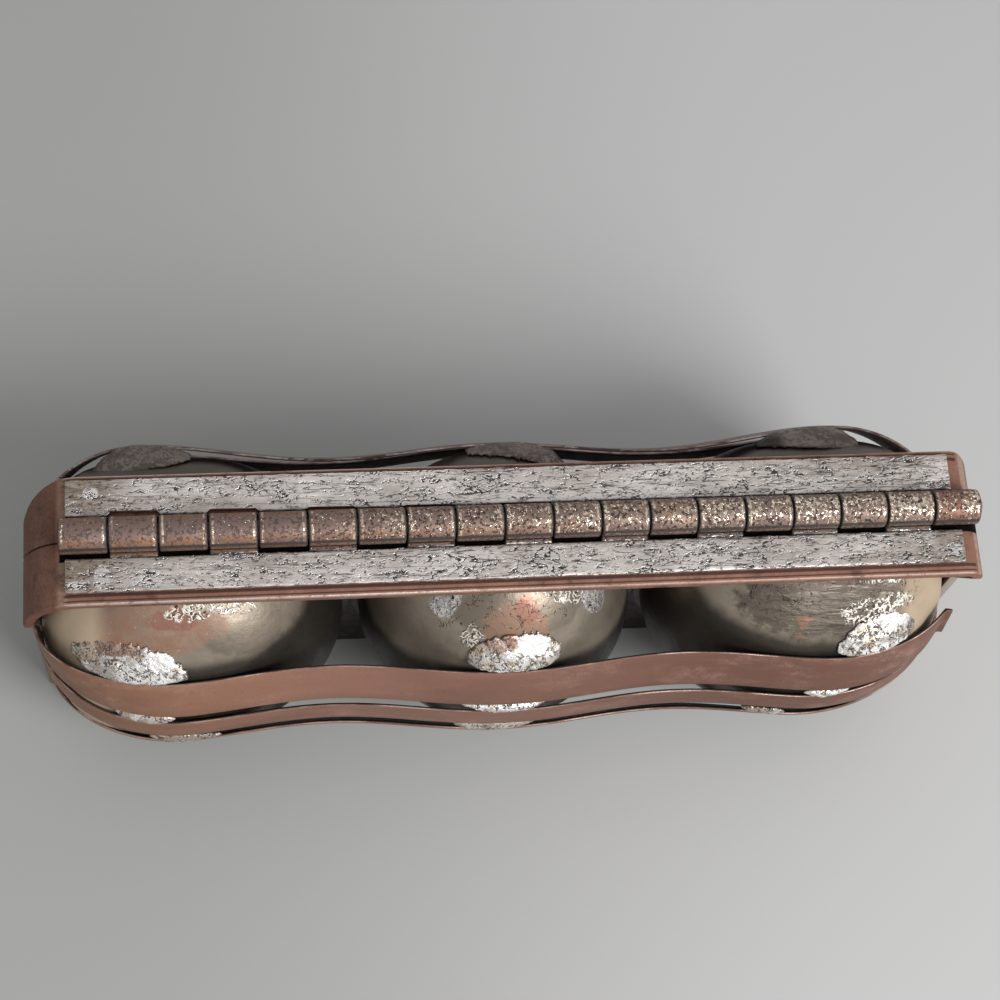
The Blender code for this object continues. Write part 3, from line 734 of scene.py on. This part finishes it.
for label, centre in SHELL_PLACES.items():
    for side in ("rear", "front"):
        outward = (centre > 0) - (centre < 0)
        name = side + "_pressed_shell_" + label
        egg = half_egg(name, HALF_WIDTHS[label], outward, FLANK_DEPTH_POWERS[side])
        open_for_editing(egg, choose="SELECT")
        bpy.ops.transform.translate(value=on_hinge(centre, -FLANGE_BACK, SHELL_MIDDLE))
        limit = SIDE_LIMIT * MM
        move_where(lambda at: abs(at.x) > limit, lambda at: Vector((math.copysign(limit, at.x) - at.x, 0, 0)))
        bpy.ops.object.mode_set(mode="OBJECT")
        wear_down(egg, SHELL_WEAR, WEAR_GRAIN)
        finish_with(egg, "SOLIDIFY", thickness=SHELL_THICK * MM, offset=-1.0)
        if side == "rear":
            mirrored_to_rear(egg)
        smooth(egg, 40)
        egg.data.materials.append(shell_tin)
        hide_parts(side + "_shell_" + label)
        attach(egg, side + "_half")

# Hinge leaves: two tinned steel strips soldered to the bars, every second knuckle rolled from each.
# The flats are grey scratched tin with rusty lips, and the knuckles have rubbed to bronze, mauve at
# the left end and brighter flecked towards the right.
KNUCKLES = 19
KNUCKLE_PITCH = 12.7
KNUCKLE_GAP = 0.3
HINGE_MIDDLE = 4.65
HINGE_START = HINGE_MIDDLE - KNUCKLES * KNUCKLE_PITCH / 2
HINGE_END = HINGE_MIDDLE + KNUCKLES * KNUCKLE_PITCH / 2
BARREL_RADIUS = 4.75
LEAF_THICK = 1.5
LEAF_TOP = -1.3
LEAF_NOTCH = 5.45
LEAF_REACHES = {"rear": 16.0, "front": 15.0}
LEAF_STARTS = -114.4
LEAF_ENDS = {"rear": HINGE_END - 5.9, "front": HINGE_END - 4.5}
ROLL_START = math.radians(217)
ROLL_SWEEP = math.radians(331)
ROLL_STEPS = 30
TONGUE_LAP = 0.4
BEND_HIGH, BEND_LOW = 0.2, 0.6
KNUCKLE_EDGE = 0.65
KNUCKLE_SLACK = 0.025
LEAF_EDGE = 0.35
CUTS_ALONG, CUTS_ACROSS = 240, 8
BORDER = 0.1
BORDER_WANDER = 0.4
SLOT_REACH = 5
SLOT_MOST = 1.7
SLOT_LEAST = 0.2
SLOT_LOSS = 0.15
TIN_GREY = (0.92, 0.855, 0.81, 1)
TIN_DULL = (0.46, 0.41, 0.37, 1)
TIN_TAN = (0.27, 0.205, 0.14, 1)
TIN_WHITE = (0.90, 0.88, 0.85, 1)
CRACK_AND_GAP_SHADE_BLACK = (0.035, 0.027, 0.023, 1)
LIP_RUST = (0.22, 0.115, 0.085, 1)
KNUCKLE_BRONZE = (0.31, 0.215, 0.155, 1)
KNUCKLE_ORANGE = (0.36, 0.185, 0.105, 1)
KNUCKLE_GOLD = (0.95, 0.83, 0.66, 1)
KNUCKLE_MAUVE = (0.23, 0.155, 0.135, 1)
KNUCKLE_RED = (0.25, 0.125, 0.09, 1)
ROUGH_MARKS = (
    (-94.4, 12.5, -1.3, 1.1, 1.1, 1.0),
    (-83.9, 12.7, -1.3, 2.6, 1.5, 1.0),
    (-70.8, 13.1, -1.3, 1.1, 1.0, 1.0),
    (-60.5, 11.4, -1.3, 4.4, 2.8, 1.0),
    (-38.7, 10.9, -1.3, 1.8, 0.8, 1.0),
    (-7.0, 11.0, -1.3, 5.4, 2.8, 1.0),
    (19.3, 12.1, -1.3, 0.8, 0.9, 1.0),
    (42.5, 11.4, -1.3, 1.9, 2.1, 1.0),
    (102.7, 11.7, -1.3, 1.7, 2.2, 1.0),
    (-72.2, -10.1, -1.3, 2.4, 2.8, 1.0),
    (-11.8, -10.2, -1.3, 3.6, 2.2, 1.0),
    (8.5, -10.4, -1.3, 5.6, 3.8, 1.0),
    (30.4, -9.5, -1.3, 2.0, 1.2, 1.0),
    (35.6, -11.3, -1.3, 0.9, 3.9, 1.0),
)
SOLDER_MARKS = (
    (-107.9, 11.9, -1.3, 2.1, 1.8, 1.0),
    (-111.2, 7.0, -1.3, 1.6, 1.0, 1.0),
    (-111.6, -12.9, -1.3, 2.5, 1.2, 1.0),
    (-105.0, -11.1, -1.3, 2.3, 3.4, 1.0),
    (-93.5, -11.6, -1.3, 4.2, 2.6, 1.0),
    (118.2, -11.5, -1.3, 1.9, 1.9, 1.0),
)


def rolled_knuckle():
    """One knuckle at the hinge's middle: a tongue of the leaf, bent down and rolled round the pin."""
    start = on_hinge(0, -LEAF_NOTCH - TONGUE_LAP, LEAF_TOP - LEAF_THICK / 2)
    size = ((KNUCKLE_PITCH - KNUCKLE_GAP) * MM, LEAF_THICK * MM, 1)
    tongue = add_primitive("knuckle", "plane", size, start, turn=(math.pi / 2, 0, 0), size=1)
    open_for_editing(tongue, "FACE", "SELECT")
    inner, outer = BARREL_RADIUS - LEAF_THICK, BARREL_RADIUS
    roll_y, roll_z = math.cos(ROLL_START), math.sin(ROLL_START)
    bends = (
        ((outer * roll_y - BEND_HIGH, LEAF_TOP), (outer * roll_y - BEND_LOW, LEAF_TOP - LEAF_THICK)),
        ((inner * roll_y, inner * roll_z), (outer * roll_y, outer * roll_z)),
    )
    for high_edge, low_edge in bends:
        bpy.ops.mesh.extrude_region_move(TRANSFORM_OT_translate={"value": (0, 0, 0)})
        mesh = bmesh.from_edit_mesh(tongue.data)
        ends = sorted((vert for vert in mesh.verts if vert.select), key=lambda vert: vert.co.z)
        for vert, (y, z) in zip(ends, (low_edge, low_edge, high_edge, high_edge)):
            vert.co.y, vert.co.z = on_hinge(0, y, z)[1:]
        bmesh.update_edit_mesh(tongue.data)
    bpy.ops.mesh.spin(steps=ROLL_STEPS, angle=-ROLL_SWEEP, center=on_hinge(0, 0, 0), axis=(1, 0, 0))
    bpy.ops.mesh.select_all(action="SELECT")
    bpy.ops.mesh.normals_make_consistent(inside=False)
    bpy.ops.object.mode_set(mode="OBJECT")
    round_edges(tongue, KNUCKLE_EDGE, 3)
    return tongue


def leaf_strip(side):
    """The flat of one leaf: a sheet with slightly uneven borders, given its thickness and soft edges."""
    reach, end = LEAF_REACHES[side], LEAF_ENDS[side]
    size = ((end - LEAF_STARTS) * MM, (reach - LEAF_NOTCH) * MM, 1)
    middle = on_hinge((end + LEAF_STARTS) / 2, -(reach + LEAF_NOTCH) / 2, LEAF_TOP)
    cuts = {"x_subdivisions": CUTS_ALONG, "y_subdivisions": CUTS_ACROSS}
    strip = add_primitive(side + "_hinge_leaf_strip", "grid", size, middle, size=1, **cuts)
    outer = -(reach - BORDER) * MM
    inner = -(LEAF_NOTCH + BORDER) * MM
    open_for_editing(strip)

    def slot(at):
        """How far the rear leaf stands back there from the front leaf's knuckles, most at the left."""
        turns = (at.x / MM - HINGE_START) / KNUCKLE_PITCH
        depth = max(0, 1 + (at.y / MM + LEAF_NOTCH) / SLOT_REACH)
        width = max(SLOT_LEAST, SLOT_MOST - SLOT_LOSS * turns)
        if side == "front" or int(turns) % 2 == 0:
            width = 0
        return Vector((0, -width * depth * MM, 0))

    def uneven(at, waves, row):
        """How far a border wanders into the strip there."""
        return BORDER_WANDER * MM * (0.5 + 0.5 * noise.noise(Vector((at.x * waves, row, 3))))

    move_where(lambda at: True, slot)
    move_where(lambda at: at.y < outer, lambda at: Vector((0, uneven(at, 300, 1), 0)))
    move_where(lambda at: at.y > inner, lambda at: Vector((0, -uneven(at, 260, 7), 0)))
    bpy.ops.object.mode_set(mode="OBJECT")
    finish_with(strip, "SOLIDIFY", thickness=LEAF_THICK * MM, offset=-1.0)
    round_edges(strip, LEAF_EDGE, 2)
    return strip


leaf_tin, tree, shader, place, at = mould_material("leaf_tin")
drawn = drawn_out(tree, place, 0.42)
brushed = drawn_out(tree, place, 0.06)
streaks = use(tree, grain, {"Place": brushed, "Size": 1400.0})
specks = use(tree, grain, {"Place": drawn, "Size": 900.0})
frayed = stray_by(tree, place, 500.0, 0.9)
rough_area = marked_at(tree, place, ROUGH_MARKS, frayed)
solder_area = marked_at(tree, place, SOLDER_MARKS, frayed)
cluster = patched(tree, drawn, 75.0, 0.46, 0.1, 3.0)
past_left = step_between(tree, at["Along"], -85.0, -25.0)
busy = levelled(tree, 0.42, (past_left, 0.46), (cluster, 0.54), (rough_area, 0.68), (solder_area, 0.58))
lines = stroked(tree, drawn, 640.0, 0.045, busy, 1.0)
# Painted highlight: a copy of the crack lines, shifted a little, is painted white beside them.
lifted = put(tree, "VectorMath", {"operation": "ADD"}, {0: drawn, 1: (0.0001, -0.0002, 0.0)}).outputs[0]
painted_glints = stroked(tree, lifted, 640.0, 0.045, busy, 1.0)
ticks = stroked(tree, drawn, 1300.0, 0.06, 0.45, 7.0)
hair = stroked(tree, brushed, 900.0, 0.03, 0.5, 4.0)
dull = patched(tree, drawn, 110.0, 0.5, 0.1, 4.0)
pits = patched(tree, drawn, 1100.0, 0.36, 0.02, 8.0)
tan = patched(tree, drawn, 120.0, 0.5, 0.1, 6.0)
left_end = below(tree, at["Along"], -110.0, -94.0)
right_end = step_between(tree, at["Along"], 60.0, 116.0)
tan = both(tree, tan, levelled(tree, 0.12, (right_end, 0.6)))
tan = either(tree, tan, both(tree, left_end, levelled(tree, 0.5, (specks["Tone"], 0.9))))
torn = patched(tree, drawn, 420.0, 0.6, 0.04, 9.0)
flank = below(tree, at["Above"], -1.75, -1.5)
inner_lip = both(tree, below(tree, at["Outward"], 5.8, 6.2), levelled(tree, 0.3, (torn, 1.0)))
colour = layered(
    tree,
    TIN_GREY,
    (both(tree, dull, levelled(tree, 0.3, (specks["Tone"], 0.75))), TIN_DULL),
    (both(tree, streaks["Tone"], levelled(tree, 0.5, (past_left, 0.35))), TIN_DULL),
    (tan, TIN_TAN),
    (both(tree, solder_area, levelled(tree, 0.35, (specks["Tone"], 0.95))), TIN_WHITE),
    (both(tree, hair, levelled(tree, 0.5, (past_left, 0.85))), CRACK_AND_GAP_SHADE_BLACK),
    (both(tree, ticks, 0.85), CRACK_AND_GAP_SHADE_BLACK),
    (flank, LIP_RUST),
    (both(tree, inner_lip, 0.85), CRACK_AND_GAP_SHADE_BLACK),
    (both(tree, pits, 0.8), CRACK_AND_GAP_SHADE_BLACK),
    (both(tree, painted_glints, 0.8), TIN_WHITE),
    (lines, CRACK_AND_GAP_SHADE_BLACK),
)
rough = levelled(tree, 0.36, (specks["Tone"], 0.5), (painted_glints, 0.25))
metal = levelled(tree, 0.8, (either(tree, lines, flank), 0.2))
cut = total(tree, both(tree, lines, 0.8), both(tree, pits, 0.5))
relief = less(tree, specks["Height"], cut)
finish_material(tree, shader, colour, rough, metal, relief, 0.55, 0.0004)

knuckle_bronze, tree, shader, place, at = mould_material("knuckle_bronze")
specks = use(tree, grain, {"Place": place, "Size": 1000.0})
turns = both(tree, less(tree, at["Along"], HINGE_START), 1 / KNUCKLE_PITCH)
from_joint = both(tree, math_of(tree, "PINGPONG", turns, 0.5), KNUCKLE_PITCH)
# Painted shade: the ends of each knuckle, beside the gaps between knuckles, are painted black.
joint_gap_shade = below(tree, total(tree, from_joint, stray_by(tree, place, 700.0, 0.3)), 0.3, 0.75)
seam = within(tree, at["Outward"], 4.15, 4.6, 0.12)
rightward = step_between(tree, at["Along"], -85.0, 60.0)
crown = step_between(tree, at["Above"], 2.6, 4.7)
number = math_of(tree, "FLOOR", turns)
own_tone = put(tree, "TexWhiteNoise", {"noise_dimensions": "1D"}, {"W": number}).outputs["Value"]
middle = step_between(tree, at["Along"], -70.0, -20.0)
cover = total(tree, levelled(tree, 0.33, (middle, 0.365)), both(tree, rightward, 0.035))
cover = total(tree, cover, both(tree, crown, levelled(tree, 0.02, (rightward, 0.06))))
cover = total(tree, cover, both(tree, less(tree, own_tone, 0.5), 0.05))
pin_end = step_between(tree, at["Along"], 118.0, 124.0)
cover = total(tree, cover, both(tree, pin_end, 0.05))
flecks = patched(tree, place, 1150.0, cover, 0.02, 9.0)
# Painted highlight: bright gold edges next to the joints, merged into the worn gold flecks.
joint_edge_highlight = patched(tree, place, 600.0, 0.48, 0.05, 2.0)
joint_edge_highlight = both(tree, joint_edge_highlight, within(tree, from_joint, 0.85, 1.4, 0.15))
joint_edge_highlight = both(tree, joint_edge_highlight, step_between(tree, at["Above"], 0.0, 2.0))
flecks = either(tree, flecks, both(tree, joint_edge_highlight, 0.7))
last = step_between(tree, at["Along"], HINGE_END - KNUCKLE_PITCH - 0.2, HINGE_END - KNUCKLE_PITCH + 0.2)
pits = patched(tree, place, 1100.0, 0.45, 0.03, 5.0)
mauve = patched(tree, place, 130.0, 0.5, 0.1, 8.0)
leftward = less(tree, 1.0, rightward)
front_low = both(tree, below(tree, at["Above"], 3.4, 4.4), leftward)
colour = layered(
    tree,
    KNUCKLE_BRONZE,
    (both(tree, own_tone, 0.5), KNUCKLE_MAUVE),
    (either(tree, mauve, leftward), KNUCKLE_MAUVE),
    (both(tree, front_low, specks["Tone"]), KNUCKLE_ORANGE),
    (both(tree, last, 0.8), KNUCKLE_RED),
    (both(tree, pits, levelled(tree, 0.5, (middle, 0.95))), CRACK_AND_GAP_SHADE_BLACK),
    (flecks, KNUCKLE_GOLD),
    (either(tree, seam, joint_gap_shade), CRACK_AND_GAP_SHADE_BLACK),
)
rough = levelled(tree, 0.5, (flecks, 0.22))
metal = levelled(tree, 0.6, (flecks, 1.0), (either(tree, seam, joint_gap_shade), 0.0))
relief = total(tree, specks["Height"], both(tree, flecks, 0.5))
relief = less(tree, relief, both(tree, pits, 0.5))
finish_material(tree, shader, colour, rough, metal, relief, 0.6, 0.0004)

pattern = rolled_knuckle()
chance = random.Random(11)
for side in ("rear", "front"):
    own = 0 if side == "rear" else 1
    leaf = leaf_strip(side)
    leaf.data.materials.append(leaf_tin)
    rolled = []
    for index in range(own, KNUCKLES, 2):
        knuckle = bpy.data.objects.new("knuckle_" + str(index), pattern.data.copy())
        bpy.context.scene.collection.objects.link(knuckle)
        knuckle.data.materials.append(knuckle_bronze)
        knuckle.data.materials.append(leaf_tin)
        for face in knuckle.data.polygons:
            face.material_index = int(face.center.y < -(BARREL_RADIUS + BORDER) * MM)
        middle = HINGE_START + (index + 0.5) * KNUCKLE_PITCH
        open_for_editing(knuckle, choose="SELECT")
        slim = 1 - KNUCKLE_SLACK * chance.random()
        bpy.ops.transform.resize(value=(1, slim, slim), center_override=on_hinge(0, 0, 0))
        bpy.ops.transform.translate(value=(middle * MM, 0, 0))
        bpy.ops.object.mode_set(mode="OBJECT")
        rolled.append(knuckle)
    bpy.ops.object.select_all(action="DESELECT")
    for knuckle in rolled:
        knuckle.select_set(True)
    leaf.select_set(True)
    bpy.context.view_layer.objects.active = leaf
    bpy.ops.object.join()
    if side == "rear":
        mirrored_to_rear(leaf)
    smooth(leaf, 40)
    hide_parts(side + "_hinge_leaf")
    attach(leaf, side + "_half")
bpy.data.objects.remove(pattern, do_unlink=True)

# Hinge pin: a round steel rod through all the knuckles, its ends filed round, one standing a little out.
PIN_RADIUS = 2.5
PIN_START = HINGE_START + 0.5
PIN_END = HINGE_END + 1.1
PIN_EDGE = 1.3
PIN_BROWN = (0.36, 0.25, 0.17, 1)
PIN_BRIGHT = (0.88, 0.84, 0.78, 1)

pin_steel, tree, shader, place, at = mould_material("pin_steel")
specks = use(tree, grain, {"Place": place, "Size": 1000.0})
tip = both(tree, specks["Tone"], step_between(tree, at["Faces End"], 0.2, 0.6))
colour = layered(tree, PIN_BROWN, (tip, PIN_BRIGHT))
rough = levelled(tree, 0.5, (tip, 0.28))
metal = levelled(tree, 0.6, (tip, 0.95))
finish_material(tree, shader, colour, rough, metal, specks["Height"], 0.5, 0.0004)

pin_middle = on_hinge((PIN_START + PIN_END) / 2, 0, 0)
length = (PIN_END - PIN_START) * MM
across = (0, math.pi / 2, 0)
rod = {"vertices": 32, "radius": PIN_RADIUS * MM, "depth": length}
pin = add_primitive("hinge_rod", "cylinder", (1, 1, 1), pin_middle, turn=across, **rod)
round_edges(pin, PIN_EDGE, 5)
smooth(pin, 40)
pin.data.materials.append(pin_steel)
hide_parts("hinge_pin")
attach(pin, "rear_half")

# Straps: three flat bands round the backs of each half's shells, soldered where they touch.
# Each is bent by hand over three eggs, so its solid is copied, merged and smoothed. They are brown
# steel, painted black on their inner faces as painted shade, and rubbed pale in places along their
# upper edges. The rear straps carry whitish streaks painted as highlights along their upper edges.
STRAP_BROWN = (0.30, 0.155, 0.112, 1)
STRAP_DARK = (0.16, 0.075, 0.052, 1)
STRAP_PALE = (0.42, 0.25, 0.19, 1)
STRAP_ORANGE = (0.34, 0.170, 0.100, 1)
RIM_PINK = (0.60, 0.45, 0.39, 1)
RIM_SHADE = (0.10, 0.05, 0.038, 1)
REAR_MAUVE = (0.15, 0.118, 0.11, 1)
REAR_HIGHLIGHT_STREAK = (0.52, 0.48, 0.47, 1)
MERGED_WITHIN = 0.000002
STRAP_CREASE = 0.75


def merged_copy(node, name):
    """A copy of a CAD node with its loose triangles joined up again."""
    piece = bpy.data.objects.new(name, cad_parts[node].data.copy())
    piece.data.name = name
    bpy.context.scene.collection.objects.link(piece)
    piece.data.materials.clear()
    open_for_editing(piece, choose="SELECT")
    bpy.ops.mesh.remove_doubles(threshold=MERGED_WITHIN)
    bpy.ops.mesh.tris_convert_to_quads(face_threshold=math.radians(30), shape_threshold=math.radians(60))
    bpy.ops.object.mode_set(mode="OBJECT")
    return piece


strap_steel, tree, shader, place, at = mould_material("strap_steel")
specks = use(tree, grain, {"Place": place, "Size": 1300.0})
long_stain = drawn_out(tree, place, 0.3)
dark = patched(tree, long_stain, 70.0, 0.5, 0.16, 2.0)
pale = patched(tree, long_stain, 140.0, 0.42, 0.12, 5.0)
worn = patched(tree, long_stain, 190.0, 0.47, 0.12, 7.0)
pits = patched(tree, place, 900.0, 0.36, 0.03, 8.0)
streaks = stroked(tree, long_stain, 420.0, 0.08, 0.5, 3.0)
rim = step_between(tree, at["Faces Up"], 0.78, 0.9)
# Painted shade: the inner faces of the front straps are painted black.
inside = below(tree, at["Faces Out"], -0.25, 0.0)
rear = step_between(tree, put(tree, "SeparateXYZ", None, {"Vector": place}).outputs["Y"], -0.002, 0.002)
leftward = below(tree, at["Along"], -96.0, -30.0)
rightward = step_between(tree, at["Along"], -45.0, 70.0)
colour = layered(
    tree,
    STRAP_BROWN,
    (both(tree, leftward, levelled(tree, 0.5, (specks["Tone"], 0.9))), STRAP_ORANGE),
    (both(tree, rightward, 0.85), STRAP_DARK),
    (both(tree, dark, 0.5), STRAP_DARK),
    (both(tree, pale, specks["Tone"], 0.7), STRAP_PALE),
    (both(tree, pits, 0.5), STRAP_DARK),
    (both(tree, rear, 0.85), REAR_MAUVE),
    (rim, RIM_SHADE),
    (both(tree, rim, worn, 0.85), RIM_PINK),
    (both(tree, inside, levelled(tree, 1.0, (rear, 0.1))), SHADE_BLACK),
    # Painted highlight: whitish streaks along the rear straps, most on their upper edges.
    (both(tree, rear, streaks, levelled(tree, 0.12, (rim, 0.9))), REAR_HIGHLIGHT_STREAK),
)
rough = levelled(tree, 0.45, (specks["Tone"], 0.6), (both(tree, rim, worn), 0.32))
metal = levelled(tree, 0.4, (both(tree, rim, worn), 0.85), (inside, 0.0))
finish_material(tree, shader, colour, rough, metal, specks["Height"], 0.4, 0.0004)
for side in ("rear", "front"):
    for level in ("upper", "middle", "lower"):
        strap = merged_copy(side + "_strap_" + level, side + "_bent_strap_" + level)
        open_for_editing(strap, "EDGE")
        bpy.ops.mesh.edges_select_sharp(sharpness=math.radians(55))
        bpy.ops.transform.edge_crease(value=STRAP_CREASE)
        bpy.ops.object.mode_set(mode="OBJECT")
        finish_with(strap, "SUBSURF", levels=2, render_levels=2)
        smooth(strap, 50)
        strap.data.materials.append(strap_steel)
        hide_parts(side + "_strap_" + level)
        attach(strap, side + "_half")

# Solder: rough beads run in between each strap's upper edge and the shell it crosses, still bright
# at the front and gone dull at the rear. Each is a copy of its solid, rounded and lumped.
SOLDER_WHITE = (0.93, 0.91, 0.88, 1)
SOLDER_GREY = (0.48, 0.44, 0.40, 1)
SOLDER_GOLD = (0.56, 0.44, 0.31, 1)
SOLDER_PIT = (0.10, 0.075, 0.06, 1)
DULL_TAUPE = (0.25, 0.205, 0.18, 1)
DULL_DARK = (0.12, 0.093, 0.08, 1)
COPPER_RUNS = ((-103.5, -24.2, -19.5, 7.5, 2.3, 3.2), (-2.2, -26.4, -20.0, 5.0, 3.2, 3.6))
GOLD_RUNS = ((-9.0, -26.5, -21.6, 3.2, 3.0, 3.0), (-110.5, -23.0, -22.5, 5.5, 3.0, 4.5))
BRIGHT_RUNS = (
    (-90.5, -27.5, -21.5, 4.5, 3.6, 3.6),
    (6.5, -27.0, -20.5, 5.5, 3.6, 4.0),
    (106.0, -23.0, -20.0, 6.0, 3.0, 4.0),
)
REAR_SHADED = (50.0, 80.5)
BEAD_VOXEL = 0.4
BEAD_SWELL = 0.3
LUMP_WAVES, KNOB_WAVES = 260, 800


def solder(name, bright, middling, odd, seed, shaded):
    """Run solder in two tones with odd coloured spots, copper and gold in places, and fine dark creases.
    Between the two places along the hinge given by shaded, if any, it is painted black as painted shade."""
    material, tree, shader, place, at = mould_material(name)
    specks = use(tree, grain, {"Place": place, "Size": 620.0})
    frayed = stray_by(tree, place, 420.0, 1.0)
    lobes = patched(tree, place, 150.0, 0.5, 0.05, seed)
    spots = patched(tree, place, 360.0, 0.43, 0.03, seed + 3)
    creases = stroked(tree, place, 520.0, 0.05, 0.53, seed)
    copper = marked_at(tree, place, COPPER_RUNS, frayed)
    gold = marked_at(tree, place, GOLD_RUNS, frayed)
    plain = less(tree, 1.0, marked_at(tree, place, BRIGHT_RUNS, frayed))
    creases = both(tree, creases, levelled(tree, 0.3, (plain, 1.0)))
    low = below(tree, at["Above"], -48.0, -44.0)
    shade_over_bead = both(tree, within(tree, at["Along"], *shaded, 1.5), 0.9) if shaded else 0.0
    colour = layered(
        tree,
        bright,
        (both(tree, lobes, plain, 0.85), middling),
        (both(tree, spots, plain), odd),
        (both(tree, low, 0.35), odd),
        (both(tree, gold, levelled(tree, 0.5, (specks["Tone"], 1.0))), SOLDER_GOLD),
        (both(tree, copper, levelled(tree, 0.5, (specks["Tone"], 1.0))), COPPER_BROWN),
        (creases, SOLDER_PIT),
        (shade_over_bead, TIN_BLACK),
    )
    rough = levelled(tree, 0.3, (lobes, 0.4), (specks["Tone"], 0.46))
    metal = levelled(tree, 0.85, (creases, 0.3))
    relief = less(tree, specks["Height"], both(tree, creases, 0.4))
    finish_material(tree, shader, colour, rough, metal, relief, 0.6, 0.0008)
    return material


solders = {
    "front": solder("solder_bright", SOLDER_WHITE, SOLDER_GREY, SOLDER_GOLD, 6.0, None),
    "rear": solder("solder_dull", DULL_TAUPE, DULL_DARK, DULL_TAUPE, 9.0, REAR_SHADED),
}
for side in ("rear", "front"):
    for level in ("upper", "middle", "lower"):
        for label in ("left", "centre", "right"):
            node = side + "_solder_" + level + "_" + label
            bead = merged_copy(node, side + "_bead_" + level + "_" + label)
            finish_with(bead, "REMESH", mode="VOXEL", voxel_size=BEAD_VOXEL * MM)
            finish_with(bead, "SMOOTH", factor=0.6, iterations=10)
            for vert in bead.data.vertices:
                lump = noise.noise(vert.co * LUMP_WAVES) + 0.5 * noise.noise(vert.co * KNOB_WAVES)
                vert.co += vert.normal * (BEAD_SWELL + BEAD_SWELL * lump) * MM
            smooth(bead, 180)
            bead.data.materials.append(solders[side])
            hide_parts(node)
            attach(bead, side + "_half")

bpy.context.view_layer.update()
